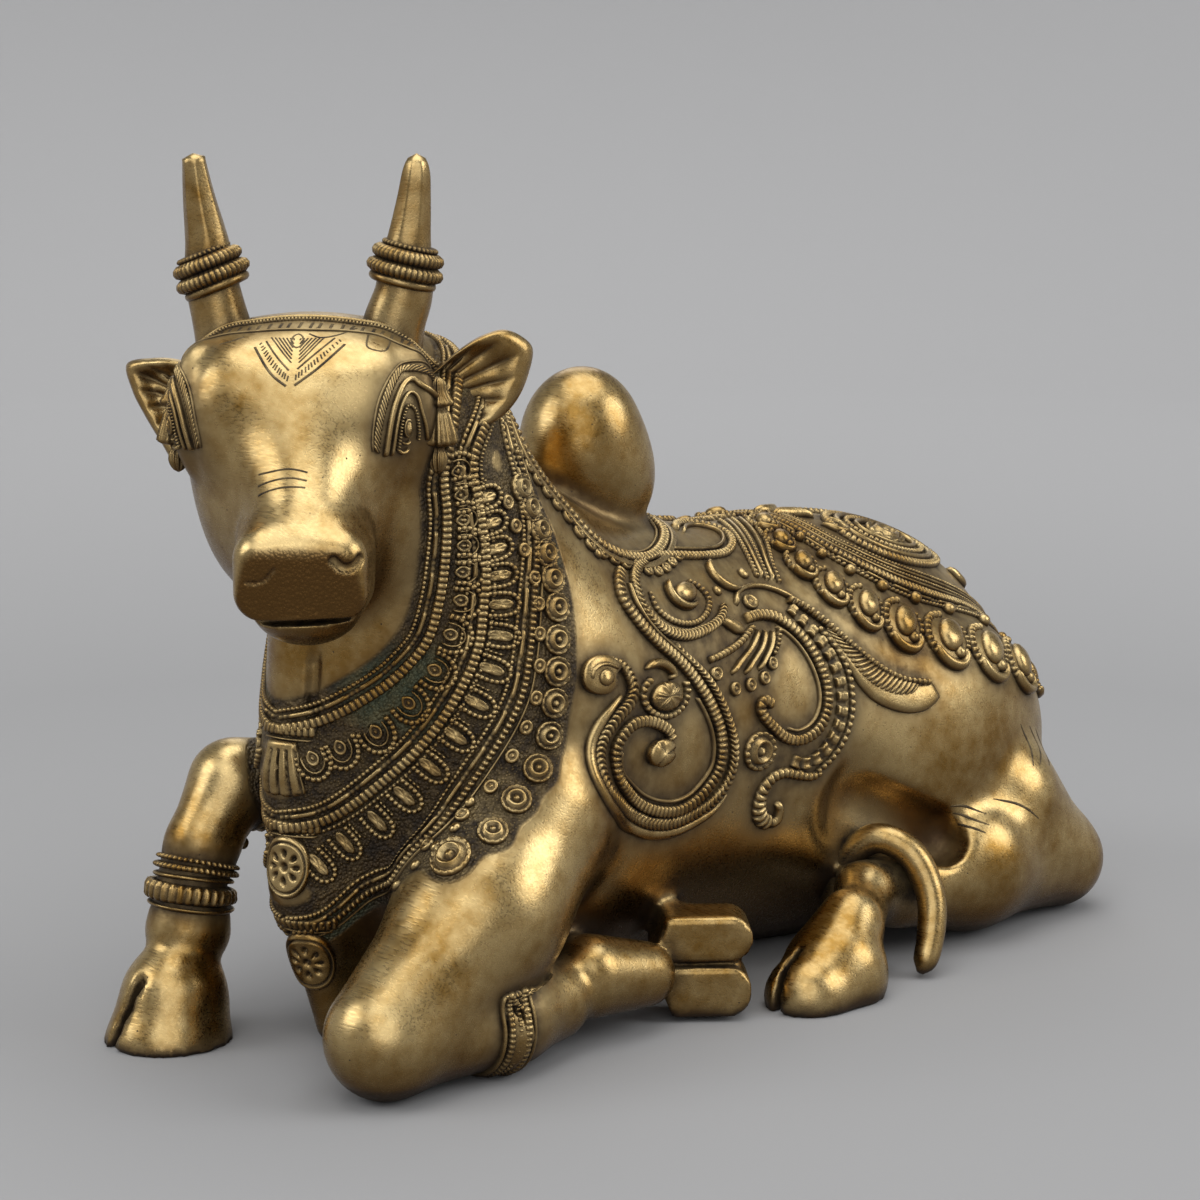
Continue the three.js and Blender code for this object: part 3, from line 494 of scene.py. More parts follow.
def grid(rows, columns, loops=False):
    """Faces over rows of corners that close round the columns, with ends unless the rows close too."""
    number = np.arange(rows * columns).reshape(rows, columns)
    ends = [] if loops else [number[:1, ::-1], number[-1:]]
    if loops:
        number = np.vstack([number, number[:1]])
    return [faces_between(number)[:, TURNED_OVER], *ends]


def plate(rings, sectors):
    """Faces of a plate from its rings of corners, rim first, with its underside and its middle."""
    number = np.arange(rings * sectors).reshape(rings, sectors)
    return [faces_between(number), number[:1], number[-1:, ::-1]]


BLOCK = 4
STEPS = np.eye(3, dtype=int)


def skin_net(field, low, high, cell):
    """The field's surface as a net of four-sided cells: its corners and its faces."""
    low, high = np.asarray(low, float), np.asarray(high, float)
    size = BLOCK * cell
    blocks = np.ceil((high - low) / size).astype(int)
    grid = np.argwhere(np.ones(blocks, bool))
    near = np.abs(in_chunks(field, low + (grid + 0.5) * size)) < size * 1.2
    live = np.zeros(blocks, bool)
    live[tuple(grid[near].T)] = True
    for axis in range(3):
        live = live.repeat(BLOCK, axis)
    shape = np.array(live.shape)
    needed = np.zeros(shape + 1, bool)
    corners = [(i, j, k) for i in (0, 1) for j in (0, 1) for k in (0, 1)]
    part_of = lambda i, j, k: (slice(i, i + shape[0]), slice(j, j + shape[1]), slice(k, k + shape[2]))
    for corner in corners:
        needed[part_of(*corner)] |= live
    value = np.full(shape + 1, 1e3, np.float32)
    value[needed] = in_chunks(field, low + np.argwhere(needed) * cell)
    inside = value < 0
    count = sum(inside[part_of(*corner)].astype(np.int8) for corner in corners)
    surface = live & (count > 0) & (count < 8)
    number = np.full(shape, -1, np.int32)
    number[surface] = np.arange(surface.sum())
    cells = np.argwhere(surface)
    total = np.zeros((len(cells), 3))
    crossings = np.zeros(len(cells))
    for axis in range(3):
        u, v = (axis + 1) % 3, (axis + 2) % 3
        for m in (0, 1):
            for n in (0, 1):
                start = cells + m * STEPS[u] + n * STEPS[v]
                a = value[tuple(start.T)]
                b = value[tuple((start + STEPS[axis]).T)]
                crossed = (a < 0) != (b < 0)
                t = np.where(crossed, a / np.where(crossed, a - b, 1), 0)
                total += np.where(crossed[:, None], start + t[:, None] * STEPS[axis], 0)
                crossings += crossed
    points = low + total / crossings[:, None] * cell
    points = settled(field, points, 2, cell * 0.45)
    faces = []
    for axis in range(3):
        u, v = (axis + 1) % 3, (axis + 2) % 3
        first = tuple(slice(0, end) for end in shape + 1 - STEPS[axis])
        second = tuple(slice(start, None) for start in STEPS[axis])
        edges = np.argwhere((inside[first] != inside[second]) & needed[first] & needed[second])
        within = (edges[:, [u, v]] > 0) & (edges[:, [u, v]] < shape[[u, v]])
        edges = edges[within.all(1)]
        around_edge = [edges - m * STEPS[u] - n * STEPS[v] for m, n in ((0, 0), (1, 0), (1, 1), (0, 1))]
        ring = np.stack([number[tuple(cell_at.T)] for cell_at in around_edge], 1)
        flip = ~inside[tuple(edges.T)]
        ring[flip] = ring[flip][:, ::-1]
        faces.append(ring[(ring >= 0).all(1)])
    return points, np.vstack(faces)


def section(places, shares):
    """A section across a strip: places from edge to edge, and shares of the height between the edges,
    which are rooted in the skin."""
    return np.array(places, float), np.array([0, *shares, 0], float)


ROUND = section([-1, -0.86, -0.5, 0, 0.5, 0.86, 1], [0.5, 0.88, 1, 0.88, 0.5])
FLAT = section([-1, -0.84, -0.5, 0, 0.5, 0.84, 1], [0.82, 1, 1, 1, 0.82])
FILLET = section([-1, -0.7, 0, 0.7, 1], [0.75, 1, 0.75])
DISHED = section([-1, -0.86, -0.62, -0.3, 0.3, 0.62, 0.86, 1], [0.8, 1, 0.55, 0.55, 1, 0.8])

# Waves along a strip: the shares of the height at the rows of one pitch
NOTCHED = [0.25, 0.92, 1, 1, 0.92]
BEADED = [0.12, 0.78, 1, 1, 0.78]
RIBBED = [0.55, 1, 1, 0.97]
SQUARE_BEADS = [0.1, 0.15, 0.95, 1, 1, 1, 0.95, 0.15]
PLAIN = [1]
DASHES = [1] * 9 + [0.2, 0.85, 0.2, 0.85, 0.2]


def skin_frame(at, way):
    """The place on the skin nearest to a given one, with the way given as it runs there, the way beside it
    and the way off the skin."""
    at = settled(figure, np.asarray(at, float).reshape(1, 3), 3)
    up = units(slopes(figure, at))[0]
    way = np.asarray(way, float)
    ahead = units(way - up * (way @ up))
    return at, ahead, np.cross(ahead, up)


# Rings of a patch, from its edge in, as share of the way and of the height
PATCH_RINGS = [(1, None), (0.97, 0.7), (0.9, 1), (0.6, 1), (0.3, 1)]


class Carving:
    """Corners near the skin, the height of each above it, and the faces between them."""

    def __init__(self, sizes):
        self.root = sizes.root / PART
        self.bases, self.heights, self.ways, self.groups = [], [], [], {}
        self.count = 0

    def add(self, bases, heights, groups, ways=None):
        """Corners as bases and heights, with their faces, each raised off the skin or the way given."""
        bases = bases.reshape(-1, 3)
        for group in groups:
            self.groups.setdefault(group.shape[1], []).append(group + self.count)
        self.bases.append(bases)
        self.heights.append(heights.ravel())
        self.ways.append(np.full(bases.shape, np.nan) if ways is None else ways.reshape(-1, 3))
        self.count += len(bases)

    def strip(
        self,
        line,
        width,
        height,
        section=ROUND,
        wave=PLAIN,
        pitch=1.8,
        aside=0,
        loops=False,
        taper=(1,),
        bow=0,
        slant=0,
    ):
        """A raised strip along a line, in parts. Taper gives shares of the width along it."""
        line = settled(figure, smooth_line(line, 1.2, loops), 2)
        if loops:
            line = np.vstack([line, line[:1]])
        run = np.concatenate([[0], np.cumsum(lengths(np.diff(line, axis=0)))])
        up = units(slopes(figure, line))
        ahead = units(np.gradient(line, axis=0))
        if loops:
            ahead[0] = ahead[-1] = units(ahead[0] + ahead[-1])
        across = units(np.cross(up, ahead))
        steps = max(1, round(run[-1] / pitch)) * len(wave)
        rows = steps if loops else steps + 1
        stops = np.arange(rows) * (run[-1] / steps)
        places, shares = section
        at = stops[:, None] + (bow * (1 - places**2) + slant * places) * width
        at = at % run[-1] if loops else np.clip(at, 0, run[-1])
        pick = lambda values: np.stack([np.interp(at, run, column) for column in values.T], -1)
        widths = np.interp(stops / run[-1], np.linspace(0, 1, len(taper)), taper)
        off = places * width / 2 * widths[:, None] + aside
        bases = pick(line) + pick(across) * off[..., None]
        wave_here = np.array(wave)[np.arange(rows) % len(wave)]
        heights = height * shares * wave_here[:, None] * np.minimum(1, widths[:, None] * 1.5)
        heights[:, [0, -1]] = -self.root
        if not loops:
            heights[[0, -1]] = -self.root
        self.add(bases, heights, grid(rows, len(places), loops))

    def disc(self, at, way, rings, long, wide, sectors=16, beads=0, outline=None, hatch=None, depth=0.35):
        """A raised disc whose rings are given from rim to middle as share of the radius and height.
        Hatch is a pattern sunk into its top, by a share of the height."""
        at, ahead, side = skin_frame(at, way)
        turn = 2 * np.pi * np.arange(sectors) / sectors
        reach = np.ones(sectors) if outline is None else outline(turn)
        bases, heights = [], []
        for number, (share, height) in enumerate(rings):
            here = reach * share
            rise = np.full(sectors, -self.root if height is None else height)
            if beads and number in (1, 2):
                rise = rise * (0.25 + 0.75 * np.abs(np.cos(turn * beads / 2)) ** 0.7)
            u, v = np.cos(turn) * here * long, np.sin(turn) * here * wide
            if hatch and height is not None:
                rise = rise * (1 - depth * hatch(u, v))
            bases.append(at + ahead * u[:, None] + side * v[:, None])
            heights.append(rise)
        self.add(np.vstack(bases), np.concatenate(heights), plate(len(rings), sectors))

    def patch(self, outline, height):
        """A smooth raised field inside an outline that runs the way that faces its middle off the skin."""
        edge = smooth_line(outline, 1.5, True)
        middle = edge.mean(0)
        bases = np.stack([middle + (edge - middle) * share for share, _ in PATCH_RINGS])
        rises = [-self.root if rise is None else height * rise for _, rise in PATCH_RINGS]
        groups = plate(len(rises), len(edge))
        size = np.cross(edge - middle, np.roll(edge, -1, 0) - middle).sum(0)
        if size @ slopes(figure, middle[None])[0] < 0:
            groups = [group[:, ::-1] for group in groups]
        self.add(bases, np.repeat(rises, len(edge)), groups)

    def both_sides(self):
        """The same carving on the other side as well."""
        flip = np.array([-1.0, 1.0, 1.0])
        for size, groups in self.groups.items():
            self.groups[size] = groups + [group[:, ::-1] + self.count for group in groups]
        self.bases += [base * flip for base in self.bases]
        self.heights += self.heights
        self.ways += [way * flip for way in self.ways]
        self.count *= 2

    def piece(self, name, material, tallest):
        """The carving as a piece, with how far each corner stands out kept for the material."""
        bases, heights, ways = (np.concatenate(part) for part in (self.bases, self.heights, self.ways))
        free = np.isnan(ways[:, 0])
        bases[free] = settled(figure, bases[free], 3)
        ways[free] = units(slopes(figure, bases[free]))
        points = on_ground(bases + ways * heights[:, None])
        groups = [np.vstack(group) for group in self.groups.values()]
        return mesh_object(name, points, groups, material, np.clip(heights / tallest, 0, 1))


# The skin: the smooth figure with its slits and creases, standing on the ground


def turn_matrix(yaw=0, pitch=0, roll=0):
    y, p, r = (math.radians(angle) for angle in (yaw, pitch, roll))
    about_z = np.array([[math.cos(y), -math.sin(y), 0], [math.sin(y), math.cos(y), 0], [0, 0, 1]])
    about_x = np.array([[1, 0, 0], [0, math.cos(p), -math.sin(p)], [0, math.sin(p), math.cos(p)]])
    about_y = np.array([[math.cos(r), 0, math.sin(r)], [0, 1, 0], [-math.sin(r), 0, math.cos(r)]])
    return about_z @ about_x @ about_y


def slab(p, at, half, turn):
    return block((p - np.asarray(at, float)) @ turn, [0, 0, 0], half, 0.5)


LIP_LEVEL = -41
# Slits as their middle, half size and turn: the mouth in the head's frame, and the clefts of three hooves
MOUTH = ([3, -62, -41.6], [22, 12, 0.9], turn_matrix(roll=-3))
MOUTH_NEAR = HEAD_AT + [40, -40, -40]
MOUTH_REACH = 60
CLEFT_REACH = 45
CLEFTS = [
    ([-40, -163, 6], [1.7, 13, 22], turn_matrix(-12, 16, 8)),
    ([74, 6, 8], [1.2, 14, 22], turn_matrix(12, 25)),
    ([-74, 6, 8], [1.2, 14, 22], turn_matrix(-12, 25)),
]

# Nostrils, across and up in the head's frame
LEFT_NOSTRIL = [[12.4, -23.8], [14, -25.5], [15.9, -26.1], [17.9, -25.5], [19.5, -23.6]]
RIGHT_NOSTRIL = [[-11.3, -30.0], [-9.0, -30.4], [-6.2, -29.2], [-3.9, -26.3]]

# The crease between the throat and the dewlap
DEWLAP_CREASE = [[11.0, -126, 140], [11.5, -127.5, 118], [11, -128, 104]]

# Short folds engraved at the knee and behind the thigh, laid as dark strips: painted shade of their
# grooves, with dark tarnish in them
FOLDS = [
    [[62, 98, 48], [65, 105, 46], [70, 112, 43]],
    [[62, 100, 45], [67, 104, 43], [73, 110, 40]],
    [[64, 100, 41], [69, 103, 40], [74, 107, 38]],
    [[66, 116, 47], [71, 126, 44], [76, 134, 38]],
    [[63, 136, 70], [64, 140, 61], [69, 136, 54]],
    [[61, 143, 68], [63, 147, 60], [69, 139, 54]],
    [[60, 149, 66], [62, 153, 58], [67, 145, 52]],
]


def groove(line, radius, soft):
    """A groove cut along a line, with the ball that holds it."""
    line = np.asarray(line, float)
    middle = line.mean(0)
    return [[*place, radius] for place in line], soft, middle, lengths(line - middle).max() + radius + 6


def grooved(d, p, grooves):
    for balls, soft, middle, reach in grooves:
        near = lengths(p - middle) < reach
        if near.any():
            d[near] = carve(d[near], limb(p[near], balls, 0.3), soft)
    return d


def head_grooves():
    return [groove(on_face(LEFT_NOSTRIL), 1.5, 0.4), groove(on_face(RIGHT_NOSTRIL), 0.5, 0.4)]


def body_grooves():
    return [groove(settled(figure, np.array(DEWLAP_CREASE)), 2.0, 1.8)]


def skin(p, grooves):
    """The distance to the figure with its slits and grooves cut in, flat on the ground."""
    d = figure(p)
    near = lengths(p - MOUTH_NEAR) < MOUTH_REACH
    if near.any():
        d[near] = carve(d[near], slab(into_head(p[near]), *MOUTH), 0.5)
    for at, half, turn in CLEFTS:
        near = lengths(p - at) < CLEFT_REACH
        if near.any():
            d[near] = carve(d[near], slab(p[near], at, half, turn), 0.8)
    d = grooved(d, p, grooves)
    return np.maximum(d, -p[:, 2])


# Boxes that hold the body and the head, as lowest and highest corner
BODY_BOX = ([-104, -178, -3], [104, 196, 212])
HEAD_BOX = ([-48, -178, 90], [64, -64, 224])

# The head and the body meet under the inmost rope of the collar.
ROW_A = [
    [-1, -75.6, 208], [20, -84, 200], [30, -92, 193], [37, -101, 176], [38, -100, 161], [37, -100, 148],
    [36, -101, 137], [34, -104, 125], [30, -109, 117], [25, -114, 111], [15, -124, 103], [1, -130, 98],
]


def ahead_of_collar(p):
    """The distance to what lies ahead of the inmost rope, which is the head's part of the skin."""
    rope = smooth_line(ROW_A, 2)
    order = np.argsort(rope[:, 2])
    levels = np.concatenate([[76], rope[order, 2], [240]])
    places = np.concatenate([[-165], rope[order, 1], [-66]])
    return (p[:, 1] - np.interp(p[:, 2], levels, places)) * 0.75


def draw_body(sizes, material):
    grooves = body_grooves()
    field = lambda p: np.maximum(skin(p, grooves), -ahead_of_collar(p))
    points, quads = skin_net(field, *BODY_BOX, sizes.body_cell / PART)
    body = mesh_object("body", on_ground(points), [quads], material)
    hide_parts(NODE)


def draw_head(sizes, material):
    grooves = head_grooves() + body_grooves()
    field = lambda p: np.maximum(skin(p, grooves), ahead_of_collar(p))
    points, quads = skin_net(field, *HEAD_BOX, sizes.head_cell / PART)
    q = into_head(points)
    on_pad = np.clip((1.6 - off_nose_pad(q)) / 1.2, 0, 1)
    above_lip = np.clip((q[:, 2] - LIP_LEVEL) / 1.5, 0, 1)
    head = mesh_object("head", points, [quads], material)
    keep_layer(head, "punched", on_pad * above_lip)
    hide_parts(NODE)


# Horns, ears and tail


def tube(balls, step, sides, flutes=0, depth=0.0):
    """A closed tube through balls given as x, y, z and radius, with flutes of a depth along it."""
    line = smooth_line(balls, step)
    ahead = units(np.gradient(line[:, :3], axis=0))
    side = np.zeros_like(ahead)
    now = np.cross(ahead[0], [0.3, 0.1, 0.9])
    for i, way in enumerate(ahead):
        now = units(now - way * (now @ way))
        side[i] = now
    other = np.cross(ahead, side)
    turn = 2 * np.pi * np.arange(sides) / sides
    radius = line[:, 3:4] * (1 - np.reshape(depth, (-1, 1)) * np.abs(np.sin(turn * flutes / 2)))
    off = side[:, None] * (np.cos(turn) * radius)[..., None]
    off += other[:, None] * (np.sin(turn) * radius)[..., None]
    return (line[:, None, :3] + off).reshape(-1, 3), grid(len(line), sides)


# The middle of each horn in the head's frame, with its radius. The right one ends in a sawn tip.
HORNS = {
    LEFT: [
        [21.5, 2, 20, 10.3], [24, 2, 34, 8.9], [26.9, 2, 43, 8.3], [27.7, 2, 51, 7.6],
        [28.6, 1.8, 58, 6.4], [30.2, 1, 70, 4.9], [31, 0.3, 78, 3.9], [31.1, 0.2, 80.6, 2.9],
        [31.1, 0.1, 82, 1.7], [31.1, 0, 82.5, 0.2],
    ],
    RIGHT: [
        [21.5, 2, 20, 10.3], [25, 2, 34, 8.2], [27.2, 2, 44, 7.6], [28, 2, 50, 7.2], [28.8, 1.8, 58, 6.3],
        [30.6, 1, 70, 4.7], [31.8, 0.2, 81, 3.3], [31.9, 0.1, 82.2, 3.1], [32, 0, 82.4, 1.6],
        [32, 0, 82.5, 0.2],
    ],
}
HORN_FACETS = 7
# The level of each horn's ring, and how far it leans out
RING_LEVEL = {LEFT: 51.4, RIGHT: 49.6}
RING_LEAN = {LEFT: 0.24, RIGHT: 0.4}
# Tiers of a horn's ring: rise above its middle, radius, width, height, section, wave and pitch
HORN_TIERS = [
    (5.1, 6.7, 1.8, 1.5, ROUND, BEADED, 1.5),
    (2.3, 7.2, 4.6, 3.3, ROUND, RIBBED, 1.7),
    (-1.8, 7.5, 4.8, 3.7, ROUND, RIBBED, 1.8),
    (-4.9, 7.8, 3.0, 2.0, ROUND, PLAIN, 1.4),
]


def ring_round(carving, centre, axis, radius, width, height, section, wave, pitch):
    """A raised ring round a place, its corners kept at their radius rather than laid on the skin."""
    axis = units(np.asarray(axis, float))
    side = units(np.cross(axis, [0.31, 0.93, 0.2]))
    other = np.cross(axis, side)
    rows = max(8, round(2 * math.pi * (radius + height) / pitch)) * len(wave)
    turn = 2 * np.pi * np.arange(rows) / rows
    up = side * np.cos(turn)[:, None] + other * np.sin(turn)[:, None]
    places, shares = section
    bases = np.asarray(centre, float) + up[:, None] * radius + axis * (places * width / 2)[None, :, None]
    heights = height * shares * np.array(wave)[np.arange(rows) % len(wave)][:, None]
    heights[:, [0, -1]] = -carving.root
    ways = np.repeat(up[:, None], len(places), 1)
    carving.add(bases[:, ::-1], heights[:, ::-1], grid(rows, len(places), True), ways[:, ::-1])


def draw_horns(sizes, skin_material, carved_material):
    for side, name in ((LEFT, "left"), (RIGHT, "right")):
        balls = np.array(HORNS[side], float)
        balls[:, 0] *= side
        levels = smooth_line(balls, 1.3)[:, 2]
        filed = np.clip((levels - RING_LEVEL[side] - 4) / 8, 0, 1) * np.clip((82 - levels) / 4, 0, 1)
        balls = np.hstack([out_of_head(balls[:, :3]), balls[:, 3:]])
        points, groups = tube(balls, 1.3, 56, HORN_FACETS, 0.07 * filed)
        mesh_object(f"{name}_horn", points, groups, skin_material)
        rings = Carving(sizes)
        lean = [RING_LEAN[side] * side, 0, 1]
        axis = out_of_head([lean])[0] - HEAD_AT
        places, _, levels, _ = np.array(HORNS[side], float).T
        middle = np.array([np.interp(RING_LEVEL[side], levels, places) * side, 2, RING_LEVEL[side]])
        for rise, *tier in HORN_TIERS:
            ring_round(rings, out_of_head(middle + units(np.array(lean)) * rise)[0], axis, *tier)
        rings.piece(f"{name}_horn_ring", carved_material, 3.0)


# The edge of each ear in the head's frame, across and up
EAR_OUTLINES = {
    LEFT: [
        [31, 19], [37, 22.5], [43, 27.5], [49, 31], [55, 32.5], [60, 30.5], [63.2, 27], [62.2, 20],
        [59, 12.5], [54, 7], [47, 3.4], [40, 1.4], [33, 4],
    ],
    RIGHT: [
        [30, 22], [37, 24.5], [45, 24.6], [53, 22.5], [51.5, 15], [47.5, 7.5], [43, 0.5], [39, -5],
        [34, -6], [30, 0],
    ],
}
EAR_ROOT = np.array([29.0, 11.5])
EAR_BACK = -1.5
EAR_SWEEP = 0.42
EAR_FLUTES = 11


def draw_ears(sizes, material):
    thick = sizes.ear_thickness / PART
    for side, name in ((LEFT, "left"), (RIGHT, "right")):
        edge = smooth_line(to_plane(EAR_OUTLINES[side]), 0.75)[:, :2]
        rows = len(edge)
        share = np.linspace(0, 1, rows)[:, None]
        # The front of the ear is a fluted cup inside a raised rim, drawn out from its root.
        out = np.concatenate([np.linspace(0.12, 0.8, 14), [0.86, 0.9, 0.94, 0.97, 0.99]])[None]
        cup = np.clip((out - 0.62) / 0.28, 0, 1)
        front = thick * (0.12 + 0.75 * cup * cup * (3 - 2 * cup)) + 3.0 * out * (1 - out)
        window = np.clip((out - 0.15) / 0.2, 0, 1) * np.clip((0.88 - out) / 0.08, 0, 1)
        ridges = np.abs(np.sin(np.pi * EAR_FLUTES * share)) ** 0.7
        front = front + 1.2 * (ridges - 1) * window
        front[:, -3:] = front[:, -3:] * np.array([0.97, 0.86, 0.66])
        rim = np.full((rows, 1), thick * 0.42)
        # The back is a plain curve.
        out_back = np.linspace(0.985, 0.12, 9)[None]
        back = -3.2 * (1 - out_back**2) + thick * 0.2 * out_back**6 + np.zeros((rows, 1))
        depths = np.hstack([front, rim, back])
        shares = np.hstack([out + np.zeros((rows, 1)), np.ones((rows, 1)), out_back + np.zeros((rows, 1))])
        flat = EAR_ROOT + (edge[:, None] - EAR_ROOT) * shares[..., None]
        x, z = flat[..., 0], flat[..., 1]
        y = EAR_BACK - depths + (x - 32) * EAR_SWEEP
        points = out_of_head(np.stack([x * side, y, z], -1).reshape(-1, 3))
        groups = grid(rows, depths.shape[1])
        if side == LEFT:
            groups = [group[:, ::-1] for group in groups]
        worn = np.ones_like(depths)
        worn[:, :out.size] = 1 - 0.85 * window * (1 - ridges)
        mesh_object(f"{name}_ear", points, groups, material, worn.ravel())


# Balls of the tail down the rump, and of its end where it curls up round the hock
TAIL = [
    [0, 150, 113, 4], [0, 166, 105, 5.6], [0, 178, 90, 6], [0, 184, 70, 6], [0, 184, 48, 5.5],
    [2, 182, 20, 5], [14, 178, 6, 5], [40, 166, 5.2, 5],
]
TAIL_LOOP = [
    [44, 64, 18, 4.6], [50, 63, 33, 4.8], [59, 67, 41, 4.9], [69, 72, 37, 4.9], [77, 73, 24, 4.8],
    [81, 68, 11, 4.4], [82, 64, 4.5, 3.6], [82, 62, 2, 1.2],
]


def draw_tail(material):
    points, groups = tube(TAIL, 2.2, 32, 7, 0.06)
    mesh_object("tail", on_ground(points), groups, material)
    points, groups = tube(TAIL_LOOP, 1.2, 32)
    mesh_object("tail_end", on_ground(points), groups, material)


# The collar: rows of rope, petals, U-shaped pendants and rosettes, from the nape down to the dewlap

ROW_B = [
    [-1, -67.6, 203], [16, -74, 196], [29, -82, 188], [37, -91, 176], [41, -90, 160], [42, -89, 147],
    [42, -90, 136], [43, -93, 122], [40, -99, 108], [35, -106, 96], [27, -114, 85], [15, -123, 74],
    [1, -130, 69],
]
ROW_C = [
    [-1, -59.6, 197], [18, -66, 189], [30, -72, 181], [37, -70, 168], [42, -70, 154], [47, -75, 135],
    [50, -79, 120], [50, -83, 107], [45, -94, 87], [38, -107, 68], [30, -111, 58], [21, -115, 50],
    [12, -121, 42], [1, -126.5, 38],
]
# The places of the motifs between the ropes, from the dewlap up to the nape
PETALS = [
    [12.2, -128.3, 90.4], [17.8, -122.8, 93.7], [25.4, -115.7, 98.4], [32.1, -108.9, 106.9],
    [36.8, -103, 116.4], [39.2, -98.9, 126.6], [40.3, -96, 136.4], [40.4, -95.3, 144.6],
    [40.5, -94.9, 152.2], [40.3, -95, 159.6], [39.9, -95.4, 166.8], [38, -96, 173.5],
]
U_SHAPES = [
    [11.4, -125.9, 58.5], [16.6, -120.2, 65], [24.2, -114.3, 71.8], [30.9, -109.7, 79.6],
    [36.5, -104.7, 88.2], [41.4, -99.3, 97.2], [44.7, -94.1, 106.6], [46.3, -89.6, 116.2],
    [46.5, -86.3, 125.6], [45.5, -85.2, 134.6], [44.4, -84.9, 142.9], [43.3, -85.4, 150.6],
    [42.4, -86.5, 158], [41.2, -87.5, 165.3],
]
ROSETTES = [
    [56.1, -99.2, 71.8], [55.4, -89.3, 79.3], [55.3, -80.8, 87.1], [54.6, -75.2, 95.9], [54, -73, 105.2],
    [53.2, -71.2, 114], [51.8, -69.6, 123], [49.6, -67.7, 132], [47.1, -67.2, 140], [44.6, -67.4, 147.2],
    [42.5, -67.8, 153.9], [40.8, -70.3, 160.4], [39.6, -72.8, 166.2],
]
STUDS = [
    [40, -109, 66.4], [45.2, -100.4, 74.6], [48.5, -92.8, 82.6], [50.3, -86.3, 91], [51.4, -81.9, 99],
    [52, -78.6, 107.2], [51.5, -76.6, 116.2], [50, -75.2, 125.2], [48.5, -74, 133.6], [46.7, -74, 141],
    [44, -76, 149], [42, -78, 156], [41, -80, 163],
]

# Rings of each kind of disc, from its rim to its middle, as share of the radius and height
ROSETTE = [
    (1, None), (0.97, 1.3), (0.85, 2.2), (0.74, 0.7), (0.66, 0.7), (0.56, 2.5), (0.43, 2.5), (0.34, 0.7),
    (0.24, 0.8), (0.15, 2.3), (0, 2.4),
]
RING_STUD = [(1, None), (0.92, 1.1), (0.7, 1.5), (0.5, 1.1), (0.36, 0.7), (0.24, 1.3), (0, 1.5)]
SMALL_KNOB = [(1, None), (0.93, 0.7), (0.7, 1.2), (0.4, 1.5), (0, 1.6)]
TONGUE = [(1, None), (0.93, 1.0), (0.78, 1.3), (0.6, 1.35), (0, 1.4)]
EYE_OF_PETAL = [(1, None), (0.93, 1.1), (0.72, 1.35), (0.52, 0.5), (0.36, 0.35), (0.24, 0.95), (0, 1.1)]


def drop_outline(turn):
    """Round below and drawn to a point above, where the turn is half a circle."""
    return 1 - 0.22 * np.maximum(0, -np.cos(turn)) ** 2 + 0.28 * np.maximum(0, -np.cos(turn)) ** 8


HATCH_PITCH = 0.9


def crosshatch(u, v):
    rising, falling = (np.cos(np.pi * across / HATCH_PITCH) ** 8 for across in (u + v, u - v))
    return np.maximum(rising, falling)


def around(line, step):
    """Places along a line with the way it runs at each."""
    line = smooth_line(line, step)
    return list(zip(line, units(np.gradient(line, axis=0))))


def local_places(at, ahead, flat):
    """Places near a point of the skin, given along and across the way that a motif points."""
    at, ahead, side = skin_frame(at, ahead)
    flat = np.asarray(flat, float)
    return at + flat[:, :1] * ahead + flat[:, 1:] * side


def outward(at, run, away_from):
    """The way off a row, along the skin, that leads away from a given place."""
    at = np.asarray(at, float)
    up = units(slopes(figure, at.reshape(1, 3)))[0]
    way = np.cross(run, up)
    return way if way @ (at - np.asarray(away_from, float)) > 0 else -way


FACE_OF_COLLAR = [20, -140, 170]
# Lines of a motif, along and across the way it points
SCALLOP = [[-3.0, -4.7], [0.5, -5.0], [4.1, -3.5], [5.8, 0], [4.1, 3.5], [0.5, 5.0], [-3.0, 4.7]]
INNER_SCALLOP = [[-2.8, -3.0], [0.4, -3.2], [2.7, -2.2], [3.9, 0], [2.7, 2.2], [0.4, 3.2], [-2.8, 3.0]]
U_SHAPE = [[-5.0, -3.1], [0.8, -3.2], [3.9, -2.3], [5.2, 0], [3.9, 2.3], [0.8, 3.2], [-5.0, 3.1]]


def beside(line):
    """The places of a row, each with the way the row runs there."""
    line = np.array(line, float)
    return list(zip(line, units(np.gradient(line, axis=0))))


